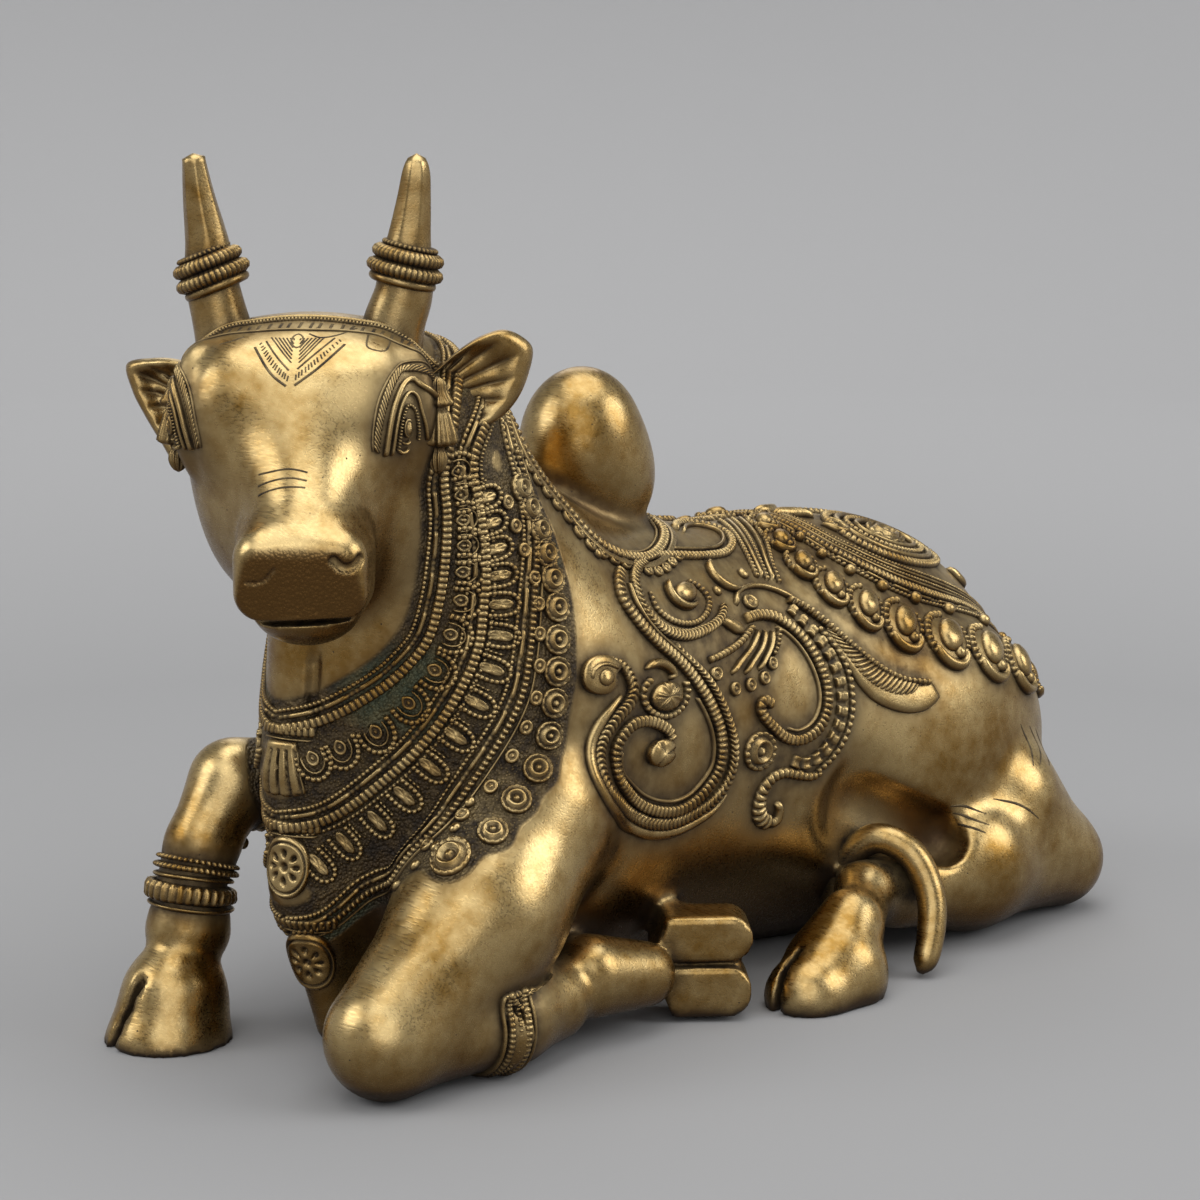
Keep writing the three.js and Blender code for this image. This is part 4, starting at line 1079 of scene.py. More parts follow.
def draw_collar(sizes, material):
    width, height, pitch = sizes.rope_width / PART, sizes.rope_height / PART, sizes.notch / PART
    carving = Carving(sizes)
    for line, wide, across, wave in (
        (ROW_A, width, FLAT, NOTCHED),
        (ROW_B, width, FLAT, NOTCHED),
        (ROW_C, width * 0.75, ROUND, BEADED),
    ):
        carving.strip(line, wide, height, across, wave, pitch)
        carving.strip(line, 1.9, height * 0.8, FILLET, DASHES, 12.5, aside=-(wide / 2 + 1.5))
    carving.strip(ROW_B, 1.5, height * 0.7, ROUND, BEADED, 1.5, aside=width / 2 + 1.2)
    carving.strip(ROW_C, 0.9, height * 0.55, FILLET, PLAIN, 1.6, aside=width / 2 + 0.8)
    for at, run in beside(PETALS):
        way = outward(at, run, FACE_OF_COLLAR)
        carving.strip(local_places(at, way, SCALLOP), 2.0, height, ROUND, NOTCHED, 1.6)
        carving.strip(local_places(at, way, INNER_SCALLOP), 0.8, height * 0.8, FILLET, PLAIN, 1.3)
        eye = local_places(at, way, [[-0.6, 0]])
        carving.disc(eye, way, EYE_OF_PETAL, 2.5, 2.0, 16, outline=drop_outline)
    for at, run in beside(U_SHAPES):
        way = outward(at, run, FACE_OF_COLLAR)
        carving.strip(local_places(at, way, U_SHAPE), 1.8, height, ROUND, NOTCHED, 1.6)
        carving.disc(local_places(at, way, [[-0.7, 0]]), way, TONGUE, 4.3, 1.7, 22, hatch=crosshatch)
        rib = local_places(at, way, [[-5.0, -4.7], [-2, -4.7], [1.2, -4.8]])
        carving.strip(rib, 1.0, height * 0.8, FILLET, BEADED, 1.5)
    for at, run in beside(ROSETTES):
        carving.disc(at, run, ROSETTE, 4.7, 4.6, 36, beads=12)
    for at, run in beside(STUDS):
        carving.disc(at, run, RING_STUD, 2.5, 2.3, 14)
    carving.disc([51, -111, 66], [0, 0, 1], ROSETTE, 6.8, 6.4, 48, beads=16)
    for at, run in around([[49, -103, 82], [43, -112, 66], [36, -115, 54]], 7.5):
        carving.disc(at, run, SMALL_KNOB, 2.0, 1.6, 12)
    carving.both_sides()
    carving.piece("collar", material, height * 1.05)
    teeth = Carving(sizes)
    for line in (ROW_A, ROW_B, ROW_C):
        teeth.strip(line, 1.5, height * 0.8, FILLET, NOTCHED, 1.5, aside=-(width / 2 + 3.5))
    teeth.both_sides()
    teeth.piece("collar_teeth", material, height * 1.05)


# Pendants down the front of the dewlap: a notched band and a drop at each row of the collar


def field_rings(rim, height, reach, count=15):
    """The rings of a disc with a rim and a flat field, close enough to show what is engraved in it."""
    return rim + [(share, height) for share in np.linspace(reach, 0.03, count)]


BELL = field_rings([(1, None), (0.96, 1.1), (0.9, 1.7)], 2.0, 0.84)
DROP = field_rings([(1, None), (0.96, 1.4), (0.88, 2.3), (0.82, 2.4), (0.78, 0.4)], 2.5, 0.73)
# Level, half length and half width of each drop
DROPS = [(58, 9.8, 7.8), (28.5, 10.2, 9.0)]
BAND_LEVELS = [98.5, 70, 40.5]
ENGRAVED = 0.9
DEWLAP_MIDDLE = 3.5


def on_dewlap(level, across=0.0):
    return met([[DEWLAP_MIDDLE + across, -150, level]], [[0, 1, 0]])[0]


def bell_outline(turn):
    """A skirt, narrow above and wide below, with lobes along its hem."""
    down, aside = np.cos(turn), np.abs(np.sin(turn))
    edge = np.maximum(np.maximum(down / 0.95, -down / 0.85), (aside - down * 0.25) / 0.8)
    return (1 + 0.07 * np.abs(np.sin(turn * 4.5)) * np.maximum(0, down)) / edge


def flutes_of_bell(u, v):
    fan = v / (5.6 + u * 0.2)
    return np.cos(np.pi * fan * 1.9) ** 14 * (u > -5)


def dots(u, v):
    """A ring of punched dots with one in its middle."""
    near = np.sqrt((u / 9.8) ** 2 + (v / 8.4) ** 2)
    ring = np.exp(-(((near - 0.42) / 0.1) ** 2)) * np.cos(np.arctan2(v, u) * 4) ** 6
    return np.maximum(ring, np.exp(-((near / 0.1) ** 2)))


def draw_pendants(sizes, material):
    carving = Carving(sizes)
    down = [0, 0, -1]
    for level in BAND_LEVELS:
        line = [on_dewlap(level, across) for across in (-8.5, -5, 0, 5, 8.5)]
        carving.strip(line, 3.6, 1.6, FLAT, NOTCHED, 1.9)
        carving.strip([place - [0, 0, 2.7] for place in line], 0.9, 1.3, FILLET, PLAIN, 2)
    carving.disc(on_dewlap(88), down, BELL, 9.2, 8.6, 72, 0, bell_outline, flutes_of_bell, ENGRAVED)
    for level, long, wide in DROPS:
        carving.disc(on_dewlap(level), down, DROP, long, wide, 64, hatch=dots, depth=ENGRAVED)
    carving.piece("dewlap_pendants", material, 2.5)


# The strap from the nape round the back of the hump, with a row of ring studs beside it
HUMP_ROPE = [
    [20, -62, 192], [29, -64, 183], [32, -63, 175], [32, -56, 166], [32, -48, 157], [34.5, -42, 149],
    [36, -34, 143], [34, -17, 138.5], [28, -3, 139], [17, 10, 142], [0, 16, 143],
]
HUMP_STUDS = [
    [35, -69, 176], [35, -64, 170], [35, -57, 162.5], [36, -50, 155], [38.5, -46, 148.5],
    [39.5, -39, 143.5], [39, -28, 139], [36, -12, 134], [29, 3, 135],
]


def draw_hump_strap(sizes, material):
    height, pitch = sizes.rope_height / PART, sizes.notch / PART
    carving = Carving(sizes)
    carving.strip(HUMP_ROPE, 3.6, height * 1.2, FLAT, NOTCHED, pitch * 1.25)
    carving.strip(HUMP_ROPE, 2.4, height * 0.9, FLAT, PLAIN, 1.5, aside=-3.2)
    carving.strip(HUMP_ROPE, 1.0, height * 0.6, ROUND, BEADED, 1.4, aside=2.5)
    for at, run in around(HUMP_STUDS, 5.6):
        carving.disc(at, run, RING_STUD, 2.5, 2.1, 14)
    carving.both_sides()
    carving.piece("hump_strap", material, height * 1.3)


# Scrolls on each flank, as places on the barrel

LADDER = [
    [-26.3, 17.2], [-27.5, 19.8], [-31.1, 22], [-37, 23.8], [-43.5, 23.8], [-48, 21.6], [-50.6, 18.2],
    [-51, 14], [-49.8, 9.4], [-44.6, 4.2], [-38.4, -0.6], [-31, -3.9], [-23.1, -5.3], [-16, -4],
    [-9.8, -0.1], [-5.2, 4.8], [-3.7, 10.8], [-4.4, 17.2], [-7.1, 23.6], [-11, 29.6], [-15.8, 35],
    [-20.4, 38.4], [-26.3, 41.7], [-31.4, 44.8], [-36, 48.6], [-38.6, 52.5], [-37, 56], [-33.4, 58.6],
]
CRESCENTS = [
    [-51.1, 39.4], [-46.9, 38], [-44, 35.4], [-42.9, 32.5], [-44.8, 29.3], [-50.5, 26.3], [-55.3, 22.7],
    [-58.3, 17.4], [-58.9, 11.5], [-56.3, 6.2], [-49, 1], [-41, -3.8], [-32.6, -7.7], [-23, -9.2],
    [-14.4, -7.9], [-6.5, -5], [-1, -0.6], [1.9, 5.6], [2.1, 12.1], [0, 19], [-3.8, 27.2], [-8.8, 33.6],
    [-14.5, 38.3], [-19, 42],
]
CRESCENT_WIDTHS = [
    0.5, 0.8, 1, 1, 1, 1, 1, 1, 1, 1, 1, 1, 0.95, 0.85, 0.75, 0.7, 0.65, 0.6, 0.55, 0.5, 0.4,
]
SHOULDER = CRESCENTS[4:17]
HEAD_CURL = [
    [-47.5, 37.8], [-51.4, 40.2], [-56.1, 40.9], [-61, 40], [-63.4, 37.4], [-62.6, 34.6], [-58.6, 32.6],
    [-53.6, 32.2], [-50, 33.8], [-50.5, 36],
]
HEAD_RIM = [[-49, 37], [-52, 38.2], [-56, 38.8], [-59.8, 37.8], [-60.6, 35.6]]
PAISLEY_RIM = [
    [-33.6, 33.8], [-37.2, 32.4], [-38.4, 29.8], [-36.5, 27], [-32.4, 24.8], [-27.6, 24], [-22.6, 24.8],
    [-19, 26.9], [-17.2, 29.8], [-17.6, 32.4],
]
PAISLEY_LEAF = [[-36.2, 36.2], [-33, 37.2], [-28.6, 37.4], [-24.4, 36], [-23, 34], [-25.2, 33.6]]
UPPER_VOLUTE = [
    [-16, 62.6], [-22.6, 60.6], [-27.8, 57.2], [-29.7, 53], [-28.6, 49.2], [-24.4, 46], [-18, 44.2],
    [-11.5, 43.6], [-4.5, 44.2], [2, 45.5], [7.2, 47.6], [10.7, 50.4],
]
UPPER_RIDGE = [
    [-31.5, 56.5], [-32.2, 52], [-30.2, 48.2], [-26.2, 44.6], [-21, 41.6], [-16, 38.6], [-11, 35],
]
UPPER_TOP = [
    [-24.9, 60.2], [-18.4, 63.2], [-8.4, 65.4], [2, 66], [12.3, 66.2], [22, 67], [31, 68.6], [38.4, 72.4],
    [42.6, 77.6], [42, 82.6], [36, 86], [28, 84.4], [20, 79.6],
]
UPPER_INNER = [
    [-22.4, 54.6], [-22.6, 50.8], [-18.8, 48.4], [-14, 47], [-8, 46.5], [-2, 47.4], [3, 49.8],
    [5.6, 52.8], [4.2, 56], [0, 58],
]
UPPER_CURL = [[-9.4, 58.2], [-12.6, 56], [-12.6, 53.4], [-9.4, 51.3], [-4.4, 50.8], [-0.4, 52.4]]
HOOK = [[18.4, 65], [15.4, 62.8], [14.3, 60], [16, 57.4], [21, 55.4], [25.6, 55.6]]
STRAPS = [
    [[53.4, 88.6], [44.3, 74.9], [38.9, 66], [35.8, 58.9]],
    [[56.4, 88.6], [46.6, 74.4], [40.8, 65], [37.8, 58.3]],
    [[59.4, 88.6], [48.8, 73.8], [42.7, 64.1], [39.8, 57.7]],
    [[62.4, 88.6], [51.7, 72.6], [45.1, 63.6], [42.1, 57]],
    [[65.4, 88.6], [54.6, 72], [47.5, 63.2], [44.5, 56.3]],
]
ARCH = [
    [19.2, 46.6], [26.7, 47.3], [33.3, 46.2], [38.6, 43], [43, 38], [46, 31.5], [47.3, 24.5],
    [46.6, 18.4], [43.6, 13], [38.6, 9.5], [32, 8.4], [26.2, 10.2], [21, 14.3], [16.7, 18.4],
    [15.6, 21.4], [18, 23], [21.4, 21.2],
]
SQUARES = [
    [42, 49], [46, 43.4], [50, 37.3], [52.4, 31.6], [53.6, 25], [53.2, 18], [51, 11.6], [46.6, 6],
    [40.6, 1.6], [34, 0.4], [29, 2.4],
]
ARCH_BEADS = [
    [51.4, 41.4], [55.9, 34.4], [58.2, 28], [58.4, 20.5], [56.8, 13], [53, 6.2], [47, 0.4], [40, -3.4],
]
ARCH_OVER = [[17.6, 50.4], [20.6, 53.8], [27.9, 56], [35.4, 55.8], [42.4, 53.4], [48.5, 48.8], [53, 43.6]]
CURL = [
    [43, -3.6], [38, -4.4], [32, -3], [26, -1.4], [20.7, -2.4], [17.3, -5.6], [16.2, -10.4],
    [17.8, -15.5], [21.4, -18],
]
CURL_WIDTHS = [0.45, 0.7, 0.8, 0.8, 0.85, 1, 1.2, 1.35, 1.2]
CURL_TIP = [[21.4, -18.4], [24.8, -17.2], [25.2, -13.6], [23.6, -10.8]]
LEAF_SPINE = [
    [43.3, 51], [49.8, 47], [55, 42], [59.6, 36.8], [64.6, 31.8], [70, 27.3], [76, 23], [82, 19.8],
    [88, 18.2], [92, 17.4],
]
LEAF_MIDDLE = [
    [54.4, 41], [57.6, 35.6], [61.4, 29.6], [66, 23.8], [71.6, 19], [78, 15.6], [84.6, 13.8], [90.4, 14],
    [95, 15.6],
]
LEAF_WIDTHS = [0.25, 0.45, 0.68, 0.88, 1, 1, 0.98, 0.85, 0.5]
VEINS_MIDDLE = [
    [55.4, 40.4], [59, 34.6], [63.4, 28.8], [68.6, 23.8], [74.6, 20], [80.6, 17.4], [86, 16.4],
]
# Strands of the fan, each with its end knob and its width
FAN = [
    ([[21.3, 44.2], [11.7, 40], [2.2, 37.6], [-4.6, 36.6]], [-2.6, 32.8], 2.8),
    ([[24.1, 43.6], [17.1, 38.5], [9.3, 34.7], [4.2, 31.8]], [5.2, 27.8], 1.9),
    ([[27.1, 43.4], [22.4, 38.4], [15.3, 34.2], [10.6, 31.2]], [12.9, 28.2], 1.9),
    ([[30.4, 43], [26.6, 38], [21.5, 34.3], [17.6, 31.6]], [20.2, 29.4], 1.9),
    ([[33.4, 42.6], [30, 38.4], [26.4, 35.4]], [25.2, 33.2], 2.1),
]
BUD = [[5.6, 46.4], [9.2, 46], [12.4, 44.6], [16.4, 42.4]]
# Place and radius of the knobs between the scrolls
BARREL_KNOBS = [[-41.5, 61.5, 1.8], [12, 55, 1.8], [30.5, 60.5, 2.2]]
SPIRAL_BOSS = [(1, None), (0.95, 1.2), (0.8, 2.0), (0.6, 2.5), (0.3, 2.9), (0, 3.0)]
FLAT_BOSS = [(1, None), (0.96, 2.2), (0.85, 2.9), (0.5, 3.2), (0, 3.3)]
GROOVED_OVAL = [
    (1, None), (0.96, 1.6), (0.85, 2.3), (0.7, 2.6), (0.55, 2.75), (0.4, 2.85), (0.25, 2.9), (0, 2.95),
]


def petal_cuts(u, v):
    """Three cuts from the middle of a boss to its rim."""
    return np.cos(np.arctan2(v, u) * 1.5) ** 40 * np.clip(np.hypot(u, v) / 1.5, 0, 1)


def hatch_lines(u, v):
    return np.cos(np.pi * (u * 0.6 + v) / HATCH_PITCH) ** 2 * 0.6


def draw_scrolls(sizes, material):
    height = sizes.rope_height / PART
    carving = Carving(sizes)

    def rope(line, width, rise, *rest, **more):
        carving.strip(on_barrel(line), width, height * rise, *rest, **more)

    def boss(at, *rest, **more):
        carving.disc(on_barrel(at), *rest, **more)

    rope(LADDER, 3.9, 1.35, FLAT, NOTCHED, 1.8)
    rope(LADDER[6:20], 1.5, 0.6, FILLET, PLAIN, 1.5, aside=3.1)
    rope(CRESCENTS, 4.4, 1.25, FLAT, NOTCHED, 1.8, taper=CRESCENT_WIDTHS, bow=-0.35)
    rope(SHOULDER, 4.2, 1.05, ROUND, PLAIN, 1.5, aside=-3.5, taper=[0.3, 0.9, 1, 1, 1, 1, 1, 0.8, 0.3])
    carving.patch(on_barrel(HEAD_CURL), height * 1.3)
    boss([-55, 36], [0, 1, 0], FLAT_BOSS, 3.0, 2.6, 28)
    rope(HEAD_RIM, 1.8, 1.7, ROUND, PLAIN, 1.2)
    boss([-31.4, 14.4], [0, 1, 0], FLAT_BOSS, 5.9, 4.3, 40, hatch=petal_cuts)
    boss([-27.6, 29.2], [0, 1, 0], GROOVED_OVAL, 7.4, 4.5, 72, hatch=hatch_lines)
    rope(PAISLEY_RIM, 2.5, 1.2, ROUND, BEADED, 2.1)
    rope(PAISLEY_LEAF, 3.4, 1.5, ROUND, PLAIN, 1.1, taper=[0.2, 0.8, 1, 1, 0.8, 0.5])
    rope(UPPER_VOLUTE, 3.9, 1.3, FLAT, NOTCHED, 1.7, bow=0.4, taper=[0.7, 1, 1, 1, 1, 1, 0.9, 0.6])
    rope(UPPER_RIDGE, 1.6, 0.9, FILLET, PLAIN, 1.6)
    rope(UPPER_INNER, 2.4, 0.9, ROUND, BEADED, 1.7, taper=[0.5, 1, 1, 1, 1, 0.7])
    boss([-4.4, 54.6], [0, 1, 0.3], SPIRAL_BOSS, 5.4, 3.6, 36)
    rope(UPPER_CURL, 2.6, 1.7, ROUND, PLAIN, 1.1, taper=[0.3, 0.8, 1, 1, 0.8, 0.3])
    rope(UPPER_TOP, 3.4, 1.1, ROUND, NOTCHED, 2.0)
    rope(UPPER_TOP[3:], 1.5, 0.9, FILLET, PLAIN, 1.6, aside=3.0)
    rope(HOOK, 3.2, 1.4, ROUND, PLAIN, 1.1, taper=[0.3, 0.9, 1, 1, 0.7, 0.2])
    for number, line in enumerate(STRAPS):
        rope(line, 1.9, 0.85, ROUND, BEADED if number % 2 == 0 else PLAIN, 1.7)
    rope(ARCH, 3.7, 1.4, FLAT, NOTCHED, 1.9)
    rope(ARCH[2:12], 1.5, 0.6, FILLET, PLAIN, 1.5, aside=-3.0)
    rope(SQUARES, 4.3, 1.15, DISHED, SQUARE_BEADS, 4.7)
    rope(ARCH_BEADS, 2.3, 1, ROUND, BEADED, 2.4)
    rope(ARCH_OVER, 2.0, 1, FILLET, PLAIN, 1.5)
    boss([25.4, 51.4], [0, 1, 0], RING_STUD, 3.6, 2.9, 24)
    rope(LEAF_MIDDLE, 11.5, 0.9, FLAT, PLAIN, 1.6, taper=LEAF_WIDTHS)
    rope(VEINS_MIDDLE, 7.4, 1.45, FLAT, NOTCHED, 2.0, taper=[0.25, 0.5, 0.8, 1, 1, 0.9, 0.5], slant=0.32)
    rope(LEAF_SPINE, 2.5, 1.7, ROUND, BEADED, 2.1)
    boss([14.7, 7.6], [0, 1, 0], ROSETTE, 7.4, 6.4, 60, beads=16)
    rope(CURL, 4.8, 1.3, ROUND, NOTCHED, 2.2, taper=CURL_WIDTHS, bow=0.15)
    rope(CURL_TIP, 4.0, 1.3, ROUND, PLAIN, 1.2, taper=[1, 0.9, 0.8, 0.6])
    for strand, end, wide in FAN:
        wave = BEADED if wide > 2 else PLAIN
        rope(strand, wide, 1.25, ROUND, wave, 1.9, taper=[0.8, 1, 1, 1, 0.9])
        boss(end, [0, 1, 0], RING_STUD, 3.0 if wide > 2.5 else 2.4, 2.4, 18)
    rope(BUD, 5.0, 1.3, ROUND, PLAIN, 1.1, taper=[0.15, 0.9, 1, 0.15])
    for y, degrees, radius in BARREL_KNOBS:
        boss([y, degrees], [0, 1, 0], SMALL_KNOB, radius, radius, 12)
    carving.both_sides()
    carving.piece("flank_scrolls", material, height * 1.35)
    folds = Carving(sizes)
    for line in FOLDS:
        folds.strip(line, 1.3, 0.1, FILLET, PLAIN, 1.4, taper=[0.2, 0.8, 1, 0.7, 0.2])
    folds.both_sides()
    folds.piece("engraved_folds", material, TALLEST_ENGRAVED)


# The cloth on the rump: a border from the spine down each side, lobes along its edge and a crest above

CLOTH_BORDER = [
    [73, 89], [73.1, 79.8], [74.8, 71], [78.6, 64.4], [84.6, 59.2], [92, 54.4], [102, 50], [118, 45.6],
    [138, 41.6], [156, 37], [172, 32],
]
BORDER_END = [[172.5, 24.5], [173.5, 29], [173.5, 35], [172, 40.5]]
# Rows beside the border: how far aside, their wave and its pitch
CLOTH_ROWS = [
    (2.9, PLAIN, 1.6), (4.6, NOTCHED, 1.5), (6.4, PLAIN, 1.6), (8.2, BEADED, 1.6), (-2.8, DASHES, 11),
    (-4.6, BEADED, 1.7),
]
# Each lobe as its place on the barrel and its size against the fourth's
LOBES = [
    (64.5, 81, 0.8), (60.4, 71.4, 0.82), (60, 61.8, 0.88), (66, 52.8, 1.0), (76.6, 44.6, 1.1),
    (91, 37.3, 1.28), (108.7, 29.8, 1.4), (127.6, 23.4, 1.4), (146, 17.6, 1.35), (163, 12.5, 1.2),
]
# Place and radius of the knobs inside the border
CLOTH_KNOBS = [
    (69.6, 71, 1.8), (71.6, 63.4, 2), (78.6, 56.4, 2.2), (89.4, 50, 2.4), (103.6, 45, 2.6),
    (119, 39.8, 2.6), (138.5, 34.8, 2.6), (156, 29.6, 2.4),
]
CREST_AT = [118, 73.5]
# Rings of the crest: half length, half width in degrees, width of the strip and wave
CREST_RINGS = [
    (26, 14.6, 3.6, NOTCHED), (21.6, 12, 2.4, PLAIN), (17.6, 9.6, 2.4, NOTCHED), (13.6, 7.2, 1.8, PLAIN),
]
RUMP_LEAF = [[76, 86.4], [81, 86.8], [87, 85.4], [92, 82]]
RUMP_CURL = [[88, 77.6], [91, 73.2], [95.6, 72.4], [97.2, 76.6], [94, 79.6]]
TAIL_BUMP = [[148, 66], [153, 62], [157, 60]]
LOBE_PLATE = [(1, None), (0.95, 0.8), (0.8, 1.1), (0, 1.3)]
LOBE_BALL = [(1, None), (0.94, 2.0), (0.75, 3.1), (0.45, 3.7), (0, 3.9)]
LOBE_BEADS = [[-6.2, 2.2], [-3.6, 5.4], [0.2, 6.3], [3.6, 5.2], [6.0, 2.4]]
LOBE_CHIN = [[4.6, 4.2], [6.6, 1.2], [6.9, -2.2], [5.4, -5], [2.6, -5.6], [1.6, -3.8]]
LOBE_BACK = [[-5.8, -3.4], [-3, -5.8], [0, -6.2]]


def draw_cloth(sizes, material):
    height = sizes.rope_height / PART
    carving = Carving(sizes)
    border = on_barrel(CLOTH_BORDER)
    carving.strip(border, 3.1, height * 1.05, FLAT, NOTCHED, 1.7)
    for aside, wave, pitch in CLOTH_ROWS:
        carving.strip(border, 1.4, height * 0.85, FILLET, wave, pitch, aside=aside)
    carving.strip(on_barrel(BORDER_END), 3.0, height * 1.1, ROUND, NOTCHED, 1.7)
    crest = on_barrel([CREST_AT])[0]
    for y, degrees, size in LOBES:
        at = on_barrel([[y, degrees]])[0]
        ahead = on_barrel([[y + 4, degrees - 3]])[0] - at
        way = outward(at, units(ahead), crest)
        carving.disc(at, way, LOBE_PLATE, 6.8 * size, 6.2 * size, 32)
        near = lambda places: local_places(at, way, np.array(places) * size)
        carving.disc(near([[-0.8, -0.4]]), way, LOBE_BALL, 4.9 * size, 3.7 * size, 28)
        carving.strip(near(LOBE_BEADS), 2.4 * size, height * 1.35, ROUND, BEADED, 2.1)
        carving.strip(near(LOBE_BACK), 1.8 * size, height, ROUND, BEADED, 2.0)
        tapered = [0.4, 0.9, 1, 1, 0.9, 0.8]
        carving.strip(near(LOBE_CHIN), 2.8 * size, height * 1.8, ROUND, PLAIN, 1.2, taper=tapered)
        carving.disc(near([[2.6, -3.6]]), way, SPIRAL_BOSS, 1.9 * size, 1.8 * size, 16)
    for y, degrees, radius in CLOTH_KNOBS:
        carving.disc(on_barrel([[y, degrees]])[0], [0, 1, 0], SPIRAL_BOSS, radius, radius * 0.9, 14)
    turn = np.linspace(0, 2 * np.pi, 17)[:-1]
    for along, degrees, width, wave in CREST_RINGS:
        ring = CREST_AT + np.stack([along * np.cos(turn), degrees * np.sin(turn)], 1)
        carving.strip(on_barrel(ring), width, height * 1.15, ROUND, wave, 2.0, loops=True)
    carving.disc(crest, [0, 1, 0], ROSETTE, 9.4, 6.4, 54, beads=12)
    carving.strip(on_barrel(TAIL_BUMP), 5.0, height * 1.4, ROUND, PLAIN, 1.4, taper=[0.3, 1, 0.3])
    carving.strip(on_barrel(RUMP_LEAF), 4.6, height * 1.7, ROUND, PLAIN, 1.2, taper=[0.3, 1, 1, 0.3])
    carving.strip(on_barrel(RUMP_CURL), 2.6, height * 1.2, ROUND, PLAIN, 1.2, taper=[0.3, 1, 1, 0.6])
    carving.both_sides()
    carving.piece("rump_cloth", material, height * 1.5)


# Rings round the legs: middle, the way the leg runs, radius, width, height, section, wave and pitch
LEG_RINGS = [
    ([-40, -131.2, 51.6], [0.05, -0.3, -1], 12, 1.6, 1.6, ROUND, BEADED, 1.7),
    ([-40, -131.9, 49.4], [0.05, -0.27, -1], 12, 2.2, 2.3, ROUND, RIBBED, 1.6),
    ([-40.3, -132.5, 46.9], [0.05, -0.25, -1], 12, 1.6, 1.7, ROUND, PLAIN, 1.4),
    ([-40.5, -133.3, 42.4], [0.02, -0.2, -1], 12, 6.4, 3.4, FLAT, RIBBED, 2.2),
    ([-40.6, -134, 38.2], [0, -0.2, -1], 12, 1.4, 1.7, ROUND, PLAIN, 1.4),
    ([54.5, -106, 16.8], [0.05, 1, 0], 16, 1.4, 1.5, ROUND, PLAIN, 1.4),
    ([54.5, -103.6, 16.8], [0.05, 1, 0], 16, 2.6, 1.9, ROUND, RIBBED, 1.5),
    ([54.5, -100.8, 16.8], [0.05, 1, 0], 16, 1.8, 1.6, ROUND, BEADED, 1.5),
    ([54.5, -98.2, 16.8], [0.05, 1, 0], 16, 2.6, 1.9, FLAT, RIBBED, 1.6),
    ([54.5, -95.8, 16.8], [0.05, 1, 0], 16, 1.4, 1.5, ROUND, PLAIN, 1.4),
]


def draw_leg_rings(sizes, material):
    carving = Carving(sizes)
    for centre, way, radius, width, height, section, wave, pitch in LEG_RINGS:
        way = units(np.array(way, float))
        side = units(np.cross(way, [0.3, 0.9, 0.4]))
        other = np.cross(way, side)
        turn = np.linspace(0, 2 * np.pi, 25)[:-1, None]
        circle = np.array(centre, float) + (side * np.cos(turn) + other * np.sin(turn)) * radius
        carving.strip(circle, width, height, section, wave, pitch, loops=True)
    carving.piece("leg_rings", material, 2.0)


# The headdress: a band across the brow, bands round the eyes and lines engraved on the face

# The upper and the lower edge of the band across the brow
BROW_TOP = [
    [-35, 0, 22], [-34, -4, 28], [-30.5, -6, 33.5], [-21.6, -7.5, 37], [-10, -8.5, 38.5], [2, -9, 39],
    [13, -8.5, 38.5], [23.6, -7.5, 37], [31, -4.5, 31], [34, -3, 26], [36, -1, 20],
]
BROW_EDGE = [
    [-35, -8, 20], [-33.7, -13, 26.2], [-29, -9.5, 31.5], [-20.9, -12.8, 33.4], [-9.4, -14.3, 34.2],
    [2, -15.3, 34.4], [13, -13.8, 34], [22.8, -13.2, 32.2], [29, -14, 28.5], [33, -14, 23],
    [34.5, -11, 17],
]
HATCHED = [0.1, 1, 1]
